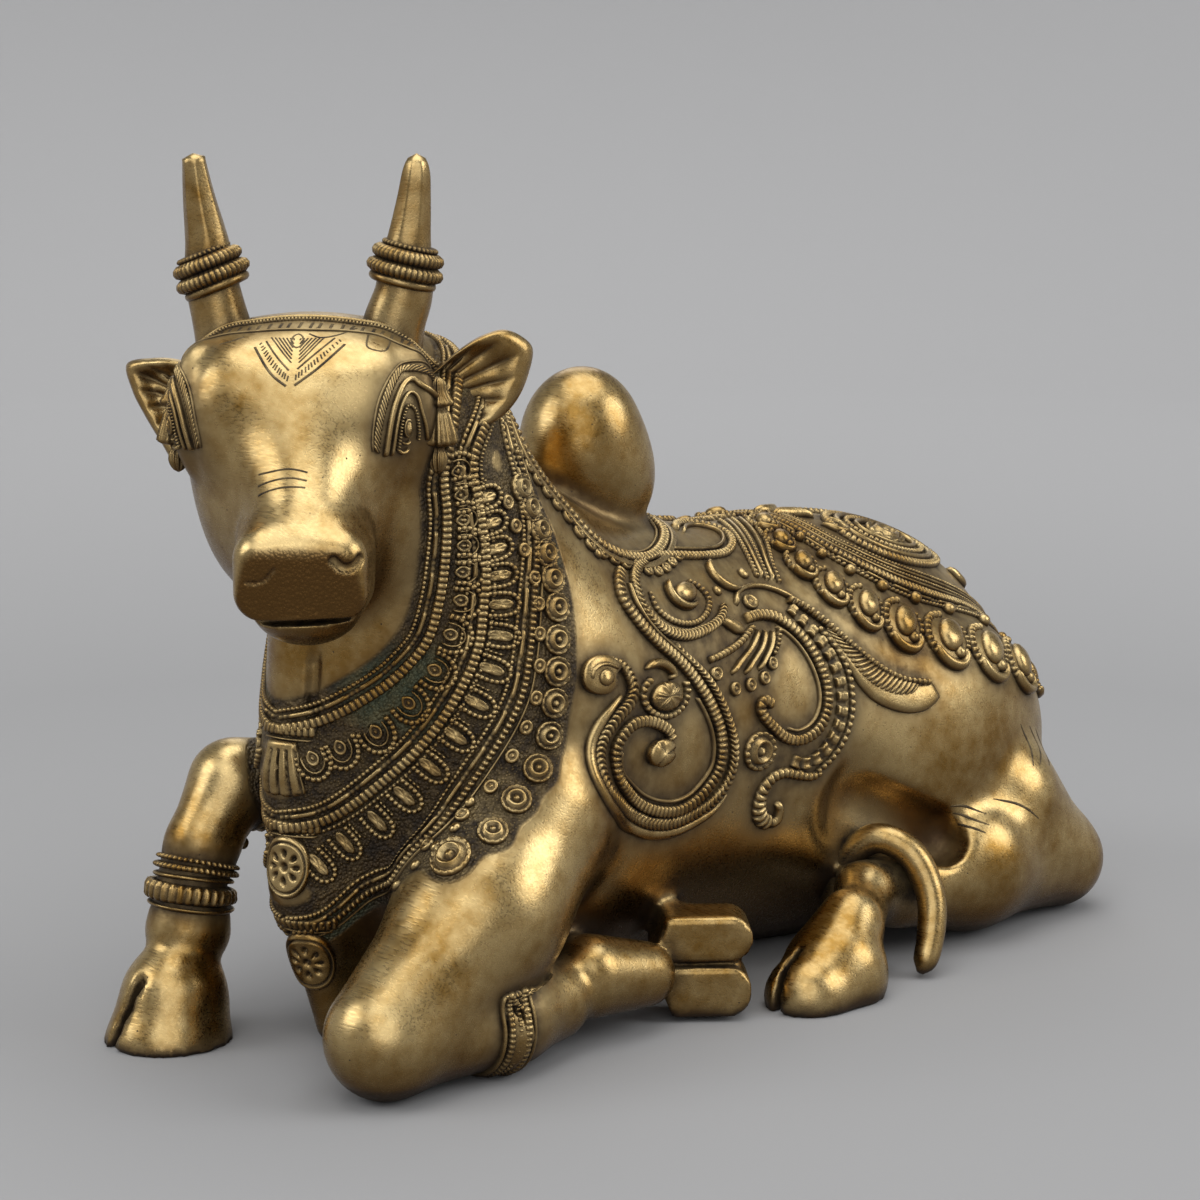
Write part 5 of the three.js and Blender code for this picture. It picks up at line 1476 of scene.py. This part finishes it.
# Nested bands of the left eye: places, width, height, section, wave and pitch. The right eye mirrors them.
EYE_BANDS = [
    (
        [
            [20.4, -31.6, 1], [20.5, -31.6, 5.2], [20.9, -30.8, 9.5], [21.9, -29.3, 14.8],
            [23.7, -26.9, 19.6], [25.8, -23.6, 23.2], [28.3, -19.9, 25.6], [31, -18.3, 25.6],
            [33.6, -14.5, 22.5], [35.4, -11, 15], [35.6, -10, 6],
        ],
        0.9, 0.5, FILLET, PLAIN, 1.2,
    ),
    (
        [
            [21.5, -31.4, 1.4], [22, -30.7, 7.3], [23.1, -29.4, 12.7], [24.4, -27.6, 17.2],
            [26.1, -24.7, 21.4], [28, -21.4, 23.8], [30.6, -19.6, 23.8], [33, -16, 21], [34.8, -13, 14.5],
            [35, -12, 6],
        ],
        2.3, 0.9, FLAT, HATCHED, 1.25,
    ),
    (
        [
            [23.8, -29.4, -0.4], [24.6, -29.1, 5.4], [25.7, -28.1, 11.7], [27, -26.4, 16.2],
            [28.6, -23.7, 19.8], [30.4, -21.2, 20.9], [32.4, -18.4, 18.5], [33.8, -16, 12.8],
            [34.2, -15, 5],
        ],
        1.9, 1.3, ROUND, PLAIN, 1.1,
    ),
    (
        [
            [25.4, -28, -0.4], [26.5, -27.8, 7], [27.6, -26.9, 12.4], [28.7, -25.2, 15.8],
            [30.2, -23.1, 17.6], [31.8, -20.8, 15.6], [32.8, -19, 10.6], [33, -18, 4],
        ],
        1.2, 1.2, ROUND, PLAIN, 1.1,
    ),
    (
        [
            [27, -26.6, 1.4], [27.8, -26.8, 6.8], [28.6, -26.2, 11.3], [29.8, -24.6, 14.1],
            [31, -22.6, 12.6], [31.6, -21.4, 8.6], [31.7, -20.6, 4.5],
        ],
        1.1, 1.2, ROUND, BEADED, 0.9,
    ),
    ([[26.6, -26.8, 2.2], [28.3, -25.3, 0.8], [30.2, -23.3, 2.2]], 1.3, 1.2, ROUND, PLAIN, 1.1),
    ([[27.9, -26.2, 4.2], [29.2, -24.9, 3.3], [30.6, -23.6, 4.6]], 1.0, 1.1, ROUND, PLAIN, 1.1),
]
EYE_AT = [29.4, -25.1, 7.8]
RIGHT_EYE_MOVED = [-8.0, 5.0, 0.0]
EYEBALL = [(1, None), (0.93, 1.0), (0.8, 1.5), (0.66, 0.9), (0.5, 1.6), (0, 1.9)]

# Lines engraved on the face, across and up in the head's frame
WRINKLES = [
    [[-10.6, -3.6], [-6.5, -2.3], [-0.8, -1.2], [4.9, -2.3]],
    [[-10.6, -6.8], [-5.8, -4.5], [-0.6, -3.4], [4.8, -4.3]],
    [[-10.4, -9.2], [-5.6, -6.7], [-0.5, -5.6], [4.6, -5.9]],
]
# The outer and the inner edge of each side of the pendant, with short strokes between them
PENDANT = [
    ([[-13.2, 30.2], [-7.4, 22.8], [-2.6, 19.4]], [[-10.2, 31.6], [-6.3, 27.3], [-2.2, 23.4]]),
    ([[12.6, 30.9], [5, 24.3], [-1.6, 19.6]], [[9.6, 32.4], [4, 28], [-1, 23.8]]),
]
PENDANT_STROKES = 15
FEATHERS = 7
RING_AT = [-1.1, 31.4]
RING_RADIUS = 1.7
BROW_STROKES = 27
BROW_SCALLOPS = [
    [[-24, 29.8], [-20, 31], [-15.6, 32.4]],
    [[1.2, 33.4], [5, 32.2], [10, 32.8], [15.4, 34.4]],
    [[18.2, 33], [18.6, 29.6], [23, 28.6], [24.4, 32]],
]
# The height against which engraved lines count as worn: they are far lower, so they stay dark, painting
# the shade and the tarnish of their grooves
TALLEST_ENGRAVED = 9


def engraved_face(sizes, material, top, edge):
    """Lines cut into the face, laid flush with the skin as dark strips: painted shade of the grooves, with
    the dark tarnish that fills them.
    """
    lines = Carving(sizes)
    cut = lambda line, width, loops=False: lines.strip(line, width, 0.08, FILLET, PLAIN, 0.9, loops=loops)
    for wrinkle in WRINKLES:
        cut(on_face(wrinkle), 0.75)
    for outer, inner in PENDANT:
        outer, inner = smooth_line(to_plane(outer), 0.5)[:, :2], smooth_line(to_plane(inner), 0.5)[:, :2]
        cut(on_face(outer), 1.0)
        cut(on_face(inner), 0.75)
        for share in (np.arange(PENDANT_STROKES) + 0.5) / PENDANT_STROKES:
            a, b = (line[int(share * (len(line) - 1))] for line in (outer, inner))
            cut(on_face([a + (b - a) * 0.15, a + (b - a) * 0.5 + [0, -0.3], a + (b - a) * 0.85]), 0.6)
    for number in range(FEATHERS):
        for side in (-1, 1):
            start = [-1.2 + side * (7.8 - 1.1 * number), 32.5]
            end = [-1.2 + side * 0.5, 25.4 + 0.95 * number]
            bend = [-1.2 + side * (3.4 - 0.4 * number), 28.2 + 0.62 * number]
            cut(on_face([start, bend, end]), 0.6)
    turn = np.linspace(0, 2 * np.pi, 12, endpoint=False)
    cut(on_face(RING_AT + RING_RADIUS * np.stack([np.cos(turn), np.sin(turn)], 1)), 0.7, True)
    for line in BROW_SCALLOPS:
        cut(on_face(line), 0.75)
    for share in np.linspace(0.08, 0.92, BROW_STROKES):
        a, b = (line[int(share * (len(line) - 1))] for line in (top, edge))
        cut([a + (b - a) * 0.3, a + (b - a) * 0.6, a + (b - a) * 0.97], 1.15)
    lines.piece("engraved_face", material, TALLEST_ENGRAVED)


def draw_headdress(sizes, material):
    carving = Carving(sizes)
    top = smooth_line(out_of_head(BROW_TOP), 0.8)
    edge = smooth_line(out_of_head(BROW_EDGE), 0.8)
    carving.strip(top, 1.3, 1.0, ROUND, NOTCHED, 1.0, aside=1.8)
    carving.strip(top, 1.2, 1.2, ROUND, PLAIN, 1.2, aside=0.5)
    carving.strip(top, 1.1, 1.0, ROUND, BEADED, 1.0, aside=-0.8)
    carving.strip(edge, 0.8, 0.5, ROUND, PLAIN, 1.2)
    for side in (1, -1):
        moved = np.array(RIGHT_EYE_MOVED if side < 0 else [0, 0, 0])
        place = lambda spots: out_of_head(np.array(spots, float) * [side, 1, 1] + moved)
        for line, width, height, section, wave, pitch in EYE_BANDS:
            slant = 0.7 * side if wave is HATCHED else 0
            carving.strip(place(line), width, height, section, wave, pitch, slant=slant)
        carving.disc(place([EYE_AT])[0], [0, 0, 1], EYEBALL, 2.9, 1.7, 22)
    carving.piece("headdress", material, 1.4)
    engraved_face(sizes, material, top, edge)


# Drops that hang below the ears, as level and radius from the top down
EAR_DROP = [
    [21, 0.4], [20, 2.2], [18.6, 2.7], [17, 3.0], [15, 4.1], [13.7, 5.1], [13.2, 4.6], [12.9, 2.6],
    [12, 2.3], [11.2, 3.4], [8, 4.7], [4, 5.9], [2.2, 5.7], [1.6, 3.0], [0.6, 1.9], [-0.6, 2.5],
    [-2.8, 2.9], [-4.8, 2.2], [-6, 1.1], [-6.4, 0.2],
]
EAR_DROP_WORN = 0.75
EAR_DROP_AT = {LEFT: [37.4, -15.0], RIGHT: [36.2, -12]}


def draw_ear_drops(material):
    for side, name in ((LEFT, "left"), (RIGHT, "right")):
        x, y = EAR_DROP_AT[side]
        balls = [[*out_of_head([[x * side, y, level]])[0], radius] for level, radius in EAR_DROP]
        points, groups = tube(balls, 0.7, 66, 11, 0.24)
        mesh_object(f"{name}_ear_drop", points, groups, material, np.full(len(points), EAR_DROP_WORN))


# Materials


def node(tree, kind, settings=(), links=()):
    """Adds a node. Settings go to its own properties or, by a socket's name or number, to its inputs."""
    made = tree.nodes.new(kind)
    for name, value in dict(settings).items():
        if isinstance(name, str) and hasattr(made, name):
            setattr(made, name, value)
        else:
            made.inputs[name].default_value = value
    for socket, source in dict(links).items():
        tree.links.new(source, made.inputs[socket])
    return made


MAP = "ShaderNodeMapRange"
MATH = "ShaderNodeMath"
MIX = "ShaderNodeMix"
NOISE = "ShaderNodeTexNoise"
CELLS = "ShaderNodeTexVoronoi"
BUMP = "ShaderNodeBump"
# A share of one value added to another, and a mix of two colours
ADD_SHARE = {"operation": "MULTIPLY_ADD", "use_clamp": True}
MIX_COLOURS = {"data_type": "RGBA"}


def scale_of(size):
    """The scale of a pattern whose features are so many millimetres wide."""
    return 1000 / size


def cast_brass(name, colours, recess_reach, relief):
    """Brass cast in lost wax and rubbed with a brush: yellow where hands reach, brown and nearly black in
    the recesses, with a satin sheen broken by brush marks and a few pits of the casting. The dark in the
    recesses is oxide and painted shade, and surfaces that face down or are shut in get painted shade in
    brown."""
    material = bpy.data.materials.new(name)
    material.use_nodes = True
    tree = material.node_tree
    tree.nodes.clear()
    add = partial(node, tree)
    brass, tarnish, recess, verdigris, underside = (
        (*shade, 1)
        for shade in (colours.brass, colours.tarnish, colours.recess, colours.verdigris, colours.underside)
    )
    place = add("ShaderNodeTexCoord").outputs["Object"]
    worn, carved_near, punched, shut_in, stippled = (
        add("ShaderNodeAttribute", {"attribute_name": layer}).outputs["Fac"]
        for layer in ("worn", "near_carving", "punched", "sheltered", "grain")
    )
    grain = add(MAP, {"From Min": 0.42, "From Max": 0.8}, {"Value": stippled}).outputs[0]

    # Tarnish comes in clouds about 35 mm wide, broken by a mottling of 5 mm.
    clouds = add(NOISE, {"Scale": scale_of(35), "Detail": 2.0}, {"Vector": place}).outputs["Fac"]
    speckle = {"Scale": scale_of(5), "Detail": 2.0, "Roughness": 0.6}
    mottle = add(NOISE, speckle, {"Vector": place}).outputs["Fac"]
    both = add(MATH, {"operation": "MULTIPLY_ADD", 1: 0.5}, {0: mottle, 2: clouds}).outputs[0]
    dull = add(MAP, {"From Min": 0.6, "From Max": 0.95}, {"Value": both}).outputs[0]

    # Pits of the casting are under a millimetre wide and 6 mm apart.
    pits = add(CELLS, {"Scale": scale_of(6), "Randomness": 1.0}, {"Vector": place}).outputs["Distance"]
    pitted = add(MAP, {"From Min": 0.05, "From Max": 0.03}, {"Value": pits}).outputs[0]

    # Dark oxide stays where the polishing brush doesn't reach. Painted shade is laid over it: an occlusion
    # probe darkens the recesses, and the skin is darkened round the carving and in the hollows where the
    # figure shuts it in.
    reach = {"samples": 2, "Distance": recess_reach / 1000}
    open_sky = add("ShaderNodeAmbientOcclusion", reach).outputs["AO"]
    hidden = add(MAP, {"From Min": 0.9, "From Max": 0.5}, {"Value": open_sky}).outputs[0]
    low = add(MAP, {"From Min": 0.55, "From Max": 0.1}, {"Value": worn}).outputs[0]
    deep = add(MATH, {"operation": "MAXIMUM"}, {0: hidden, 1: low}).outputs[0]
    deep = add(MATH, {"operation": "MAXIMUM"}, {0: deep, 1: grain}).outputs[0]
    deep = add(MATH, {**ADD_SHARE, 1: 0.75}, {0: carved_near, 2: deep}).outputs[0]
    # Grains of the punched and stippled ground are 1 mm across, and their tops are rubbed bright.
    grains = add(CELLS, {"Scale": scale_of(1.0)}, {"Vector": place}).outputs["Distance"]
    tops = add(MAP, {"From Min": 0.3, "From Max": 0.1, "To Max": 0.45}, {"Value": grains}).outputs[0]
    tops = add(MATH, {"operation": "MULTIPLY"}, {0: tops, 1: grain}).outputs[0]
    deep = add(MATH, {"operation": "SUBTRACT", "use_clamp": True}, {0: deep, 1: tops}).outputs[0]
    deep = add(MATH, {**ADD_SHARE, 1: 0.7}, {0: shut_in, 2: deep}).outputs[0]
    broken = add(MAP, {"From Min": 0.3, "From Max": 0.7, "To Min": 0.7}, {"Value": mottle}).outputs[0]
    dark = add(MATH, {"operation": "MULTIPLY"}, {0: deep, 1: broken}).outputs[0]
    dark = add(MATH, {"operation": "MAXIMUM"}, {0: dark, 1: pitted}).outputs[0]

    # Painted shade: surfaces that face down and places shut in by the figure are mixed towards a brown, as
    # shade falls there. The punched pad of the nose is darkened the same way as its own tone.
    facing = add("ShaderNodeNewGeometry").outputs["Normal"]
    upward = add("ShaderNodeSeparateXYZ", {}, {0: facing}).outputs["Z"]
    under = add(MAP, {"From Min": 0.6, "From Max": -0.6, "To Max": 0.9}, {"Value": upward}).outputs[0]
    under = add(MATH, {"operation": "ADD", "use_clamp": True}, {0: under, 1: shut_in}).outputs[0]
    under = add(MATH, {**ADD_SHARE, 1: 0.45}, {0: punched, 2: under}).outputs[0]
    skin = add(MIX, {**MIX_COLOURS, 6: brass, 7: tarnish}, {0: dull}).outputs[2]
    skin = add(MIX, {**MIX_COLOURS, 7: underside}, {0: under, 6: skin}).outputs[2]
    base = add(MIX, {**MIX_COLOURS, 7: recess}, {0: dark, 6: skin}).outputs[2]
    # A little verdigris has come up in the stippled ground, in patches as wide as the clouds.
    patches = add(MAP, {"From Min": 0.56, "From Max": 0.7, "To Max": 0.3}, {"Value": clouds}).outputs[0]
    green = add(MATH, {"operation": "MULTIPLY"}, {0: patches, 1: grain}).outputs[0]
    base = add(MIX, {**MIX_COLOURS, 7: verdigris}, {0: green, 6: base}).outputs[2]

    # Brush marks are about 0.6 mm apart and run a few centimetres. Real ones are finer and would not show.
    along = {"Scale": (0.12, 0.9, 1.0), "Rotation": (0.5, 0.2, 0.6)}
    stretched = add("ShaderNodeMapping", along, {"Vector": place}).outputs[0]
    streaks = {"Scale": scale_of(0.6), "Detail": 1.0, "Roughness": 0.65}
    marks = add(NOISE, streaks, {"Vector": stretched}).outputs["Fac"]
    fine = add(MATH, {"operation": "MULTIPLY", 1: 0.3}, {0: punched}).outputs[0]
    stipple = add(MATH, {"operation": "MAXIMUM"}, {0: grain, 1: fine}).outputs[0]
    ground = add(MATH, {"operation": "MULTIPLY"}, {0: grains, 1: stipple}).outputs[0]

    satin = {"From Min": 0.3, "From Max": 0.7, "To Min": 0.23, "To Max": 0.38}
    rough = add(MAP, satin, {"Value": marks}).outputs[0]
    rough = add(MATH, {"operation": "MULTIPLY_ADD", 1: 0.3}, {0: dark, 2: rough}).outputs[0]
    metal = add(MAP, {"To Min": 1.0, "To Max": 0.55}, {"Value": dark}).outputs[0]

    normal = add(BUMP, {"Strength": 0.12, "Distance": 0.0004}, {"Height": marks}).outputs[0]
    for height, strength, distance, sunk in (
        (mottle, relief, 0.0008, False),
        (ground, 1.0, 0.0008, True),
        (pitted, 0.3, 0.0002, True),
    ):
        depth = {"Strength": strength, "Distance": distance, "invert": sunk}
        normal = add(BUMP, depth, {"Height": height, "Normal": normal}).outputs[0]
    surface = {"Base Color": base, "Metallic": metal, "Roughness": rough, "Normal": normal}
    shader = add("ShaderNodeBsdfPrincipled", {}, surface)
    add("ShaderNodeOutputMaterial", {}, {0: shader.outputs[0]})
    return material


def painted_floor(name, colours):
    """Matt paint on the studio's floor and curved wall: no sheen, so the figure's shadow stays soft. Its
    colour runs from the floor's grey to the wall's paler grey, a painted gradient of light.
    """
    material = bpy.data.materials.new(name)
    material.use_nodes = True
    tree = material.node_tree
    shader = tree.nodes["Principled BSDF"]
    place = node(tree, "ShaderNodeTexCoord").outputs["Object"]
    away = node(tree, "ShaderNodeVectorMath", {"operation": "LENGTH"}, {0: place}).outputs["Value"]
    # Painted light: the colour goes from the floor's grey near the figure to the wall's paler grey further
    # out.
    share = node(tree, MAP, {"From Min": 0.5, "From Max": STUDIO_FLAT}, {"Value": away}).outputs[0]
    shades = {**MIX_COLOURS, 6: (*colours.floor, 1), 7: (*colours.wall, 1)}
    tree.links.new(node(tree, MIX, shades, {0: share}).outputs[2], shader.inputs["Base Color"])
    shader.inputs["Roughness"].default_value = 0.9
    shader.inputs["Specular IOR Level"].default_value = 0.2
    return material


SKIN_FINISH = "satin brass, brushed"
CARVED_FINISH = "satin brass, carved"


def finish(name):
    """The brass of the skin or of the carving, made when first asked for."""
    if name not in bpy.data.materials:
        reach, relief = (7, 0.05) if name == SKIN_FINISH else (3, 0.06)
        cast_brass(name, bpy.context.scene.nandi_colours, reach, relief)
    return bpy.data.materials[name]


# Dark ground round the carving, oxide with painted shade: the size of a cell in metres, the room round the
# figure, how many cells the carving's darkness reaches, the share of filled cells that makes it full, and
# how much of it the head takes
DARK_GROUND_CELL = 0.0015
DARK_GROUND_MARGIN = 0.02
DARK_GROUND_REACH = 2
DARK_GROUND_FULL = 0.2
DARK_GROUND_ON_HEAD = 0.7


def softened(full, reach):
    """A block of cells averaged over so many cells each way, twice."""
    full = full.astype(np.float32)
    for _ in range(2):
        for axis in range(3):
            pad = [(reach + 1, reach) if number == axis else (0, 0) for number in range(3)]
            total = np.cumsum(np.pad(full, pad), axis)
            ends = np.arange(full.shape[axis])
            window = 2 * reach + 1
            full = (np.take(total, ends + window, axis) - np.take(total, ends, axis)) / window
    return full


def corners_of(piece):
    places = np.empty(len(piece.data.vertices) * 3, np.float32)
    piece.data.vertices.foreach_get("co", places)
    return places.reshape(-1, 3)


def sampled(cells, at):
    """The values of a block of cells at places given in cells."""
    cell = np.floor(at).astype(int)
    share = at - cell
    value = 0
    for corner in np.argwhere(np.ones((2, 2, 2))):
        weight = np.where(corner, share, 1 - share).prod(1)
        value = value + weight * cells[tuple((cell + corner).T)]
    return value


def darken_near(carved, skins, layer_name):
    """Writes on the skins how much carving is near, from none to dense."""
    low = NODE_LOW - DARK_GROUND_MARGIN
    cells = np.ceil((NODE_HIGH + DARK_GROUND_MARGIN - low) / DARK_GROUND_CELL).astype(int)
    full = np.zeros(cells, bool)
    for piece in carved:
        full[tuple(((corners_of(piece) - low) / DARK_GROUND_CELL).astype(int).T)] = True
    near = softened(full, DARK_GROUND_REACH)
    for skin_piece in skins:
        value = sampled(near, (corners_of(skin_piece) - low) / DARK_GROUND_CELL - 0.5)
        kept = DARK_GROUND_ON_HEAD if skin_piece.name == "head" else 1
        keep_layer(skin_piece, layer_name, np.clip(value / DARK_GROUND_FULL, 0, 1) * kept)


# Painted shade in the hollows: the size of a cell in parts, how many cells are looked at, and the corners
# of the block of cells
HOLLOW_CELL = 3
HOLLOW_REACH = 3
HOLLOW_LOW = np.array([-135, -205, -33])
HOLLOW_HIGH = np.array([135, 230, 285])
# The share of filled cells round a place where the dark starts, and how much more makes it full
HOLLOW_FROM = 0.56
HOLLOW_SPAN = 0.26


def darken_hollows(skins):
    """Writes on the skins how far each place is shut in by the figure and the ground around it, where the
    material paints shade.
    """
    counts = (HOLLOW_HIGH - HOLLOW_LOW) // HOLLOW_CELL
    centres = (np.indices(counts).reshape(3, -1).T + 0.5) * HOLLOW_CELL + HOLLOW_LOW
    full = (in_chunks(figure, centres) < 0) | (centres[:, 2] < 0)
    near = softened(full.reshape(counts), HOLLOW_REACH)
    for skin_piece in skins:
        at = ((corners_of(skin_piece) - ORIGIN) / PART + PARTS_MIDDLE - HOLLOW_LOW) / HOLLOW_CELL - 0.5
        keep_layer(skin_piece, "sheltered", np.clip((sampled(near, at) - HOLLOW_FROM) / HOLLOW_SPAN, 0, 1))


def draw_dark_ground_and_shade():
    """Marks the skin of the head and the body round the carving and in the hollows: painted shade in the
    hollows, oxide and painted shade round the carving, and the stippled ground round the collar.
    """
    pieces = bpy.context.scene.objects
    skins = [pieces["body"], pieces["head"]]
    stippled = [pieces["collar"], pieces["collar_teeth"]]
    others = ["flank_scrolls", "rump_cloth", "hump_strap", "headdress", "leg_rings"]
    darken_hollows(skins)
    darken_near(stippled + [pieces[name] for name in others], skins, "near_carving")
    darken_near(stippled, skins, "grain")


# The stage

CAMERA_AT = [696.5, -696.5, 290.0]
CAMERA_DIPS = 9.8
CAMERA_TURN = 45
LENS = 94.8
STUDIO_FLAT = 1.7
STUDIO_CURVE = 0.9
STUDIO_RINGS = 14
STUDIO_SECTORS = 96
STUDIO_GAP = 0.0001
AIR_STRENGTH = 0.22
# Lights as place, the point each looks at, size in metres, and power in watts
LIGHTS = [
    ("front", (1.25, -1.25, 1.05), (0, 0, 0.1), 1.9, 11.5),
    ("key", (0.3, -1.3, 1.65), (0, 0, 0.1), 1.2, 4),
    ("left", (-0.9, -1.45, 1.15), (0, 0, 0.1), 1.2, 9),
    ("top", (0.0, 0.1, 1.9), (0, 0, 0.05), 2.0, 21),
    ("right", (1.5, 1.15, 1.25), (0, 0, 0.1), 1.5, 17),
    ("back", (-1.4, 1.2, 1.3), (0, 0, 0.1), 1.2, 4),
]


def draw_studio(colours):
    """A round pale floor that curves up into a wall, so that every view has the same ground."""
    turn = np.linspace(0, np.pi / 2, STUDIO_RINGS)
    reach = np.concatenate([[0.02], STUDIO_FLAT + STUDIO_CURVE * np.sin(turn)])[:, None]
    level = np.concatenate([[0], STUDIO_CURVE * (1 - np.cos(turn))])[:, None]
    about = np.linspace(0, 2 * np.pi, STUDIO_SECTORS, endpoint=False)
    points = np.stack([reach * np.cos(about), reach * np.sin(about), level + 0 * about], -1)
    points[..., 2] += NODE_LOW[2] - STUDIO_GAP
    mesh = bpy.data.meshes.new("studio")
    quads, middle, _ = plate(len(reach), STUDIO_SECTORS)
    mesh.from_pydata(points.reshape(-1, 3).tolist(), [], quads.tolist() + middle.tolist())
    mesh.shade_smooth()
    mesh.materials.append(painted_floor("matt grey paint, rolled", colours))
    studio = bpy.data.objects.new("studio", mesh)
    bpy.context.scene.collection.objects.link(studio)


def draw_lights():
    for name, place, target, size, power in LIGHTS:
        light = bpy.data.lights.new(name, "AREA")
        light.shape = "DISK"
        light.size = size
        light.energy = power
        lamp = bpy.data.objects.new(name, light)
        lamp.location = place
        lamp.rotation_euler = (Vector(target) - Vector(place)).to_track_quat("-Z", "Y").to_euler()
        lamp.visible_camera = False
        bpy.context.scene.collection.objects.link(lamp)
    world = bpy.data.worlds.new("studio air")
    world.use_nodes = True
    background = world.node_tree.nodes["Background"]
    background.inputs["Color"].default_value = (1, 1, 1, 1)
    background.inputs["Strength"].default_value = AIR_STRENGTH
    bpy.context.scene.world = world
    bpy.context.scene.view_settings.view_transform = "Standard"


def draw_camera():
    lens = bpy.data.cameras.new("camera")
    lens.lens = LENS
    lens.sensor_width = 36
    lens.sensor_fit = "HORIZONTAL"
    lens.clip_start = 0.02
    camera = bpy.data.objects.new("camera", lens)
    camera.location = to_frame(np.array([CAMERA_AT]))[0]
    camera.rotation_euler = (math.radians(90 - CAMERA_DIPS), 0, math.radians(CAMERA_TURN))
    bpy.context.scene.collection.objects.link(camera)
    bpy.context.scene.camera = camera


# Operators


class NANDI_OT_body(bpy.types.Operator):
    """The body, legs and hump, in satin brass"""

    bl_idname = "nandi.body"
    bl_label = "Body"

    def execute(self, context):
        draw_body(context.scene.nandi_sizes, finish(SKIN_FINISH))
        return {"FINISHED"}


class NANDI_OT_head(bpy.types.Operator):
    """The head, with its mouth and nostrils"""

    bl_idname = "nandi.head"
    bl_label = "Head"

    def execute(self, context):
        draw_head(context.scene.nandi_sizes, finish(SKIN_FINISH))
        return {"FINISHED"}


class NANDI_OT_horns(bpy.types.Operator):
    """Both horns with their notched rings"""

    bl_idname = "nandi.horns"
    bl_label = "Horns"

    def execute(self, context):
        draw_horns(context.scene.nandi_sizes, finish(SKIN_FINISH), finish(CARVED_FINISH))
        return {"FINISHED"}


class NANDI_OT_ears(bpy.types.Operator):
    """Both fluted ears and the drops below them"""

    bl_idname = "nandi.ears"
    bl_label = "Ears"

    def execute(self, context):
        draw_ears(context.scene.nandi_sizes, finish(CARVED_FINISH))
        draw_ear_drops(finish(CARVED_FINISH))
        return {"FINISHED"}


class NANDI_OT_tail(bpy.types.Operator):
    """The tail down the rump, and its end curled up round the left hock"""

    bl_idname = "nandi.tail"
    bl_label = "Tail"

    def execute(self, context):
        draw_tail(finish(SKIN_FINISH))
        return {"FINISHED"}


class NANDI_OT_headdress(bpy.types.Operator):
    """The brow band and the bands round the eyes, with the lines engraved on the face"""

    bl_idname = "nandi.headdress"
    bl_label = "Headdress"

    def execute(self, context):
        draw_headdress(context.scene.nandi_sizes, finish(CARVED_FINISH))
        return {"FINISHED"}


class NANDI_OT_collar(bpy.types.Operator):
    """The collar of ropes, petals and rosettes, and the pendants down the dewlap"""

    bl_idname = "nandi.collar"
    bl_label = "Collar"

    def execute(self, context):
        draw_collar(context.scene.nandi_sizes, finish(CARVED_FINISH))
        draw_pendants(context.scene.nandi_sizes, finish(CARVED_FINISH))
        return {"FINISHED"}


class NANDI_OT_flanks(bpy.types.Operator):
    """The strap behind the hump, the scrolls on both flanks and the folds at the knees"""

    bl_idname = "nandi.flanks"
    bl_label = "Hump strap and flank scrolls"

    def execute(self, context):
        draw_hump_strap(context.scene.nandi_sizes, finish(CARVED_FINISH))
        draw_scrolls(context.scene.nandi_sizes, finish(CARVED_FINISH))
        return {"FINISHED"}


class NANDI_OT_cloth(bpy.types.Operator):
    """The cloth on the rump, with its border, lobes and crest"""

    bl_idname = "nandi.cloth"
    bl_label = "Rump cloth"

    def execute(self, context):
        draw_cloth(context.scene.nandi_sizes, finish(CARVED_FINISH))
        return {"FINISHED"}


class NANDI_OT_leg_rings(bpy.types.Operator):
    """The anklet and the bracelet of the forelegs"""

    bl_idname = "nandi.leg_rings"
    bl_label = "Leg rings"

    def execute(self, context):
        draw_leg_rings(context.scene.nandi_sizes, finish(CARVED_FINISH))
        return {"FINISHED"}


class NANDI_OT_dark_ground_and_shade(bpy.types.Operator):
    """Dark oxide and painted shade on the skin round the carving, and painted shade in the hollows"""

    bl_idname = "nandi.soot"
    bl_label = "Dark ground"

    def execute(self, context):
        draw_dark_ground_and_shade()
        return {"FINISHED"}


class NANDI_OT_stage(bpy.types.Operator):
    """The pale studio, its lights and the camera"""

    bl_idname = "nandi.stage"
    bl_label = "Stage"

    def execute(self, context):
        draw_studio(context.scene.nandi_colours)
        draw_lights()
        draw_camera()
        return {"FINISHED"}


OPERATORS = [
    NANDI_OT_body,
    NANDI_OT_head,
    NANDI_OT_horns,
    NANDI_OT_ears,
    NANDI_OT_tail,
    NANDI_OT_headdress,
    NANDI_OT_collar,
    NANDI_OT_flanks,
    NANDI_OT_cloth,
    NANDI_OT_leg_rings,
    NANDI_OT_dark_ground_and_shade,
    NANDI_OT_stage,
]


class NANDI_PT_panel(bpy.types.Panel):
    """Sizes, colours and pieces of the nandi bull"""

    bl_label = "Nandi bull"
    bl_space_type = "VIEW_3D"
    bl_region_type = "UI"
    bl_category = "Nandi"

    def draw(self, context):
        for group in (context.scene.nandi_sizes, context.scene.nandi_colours):
            box = self.layout.box()
            for name in group.__annotations__:
                box.prop(group, name)
        for operator in OPERATORS:
            self.layout.operator(operator.bl_idname)


CLASSES = [NandiSizes, NandiColours, *OPERATORS, NANDI_PT_panel]


def register():
    for kind in CLASSES:
        bpy.utils.register_class(kind)
    bpy.types.Scene.nandi_sizes = PointerProperty(type=NandiSizes)
    bpy.types.Scene.nandi_colours = PointerProperty(type=NandiColours)


def unregister():
    del bpy.types.Scene.nandi_colours
    del bpy.types.Scene.nandi_sizes
    for kind in reversed(CLASSES):
        bpy.utils.unregister_class(kind)


def main():
    register()
    for operator in OPERATORS:
        group, name = operator.bl_idname.split(".")
        getattr(getattr(bpy.ops, group), name)()


if __name__ == "__main__":
    main()
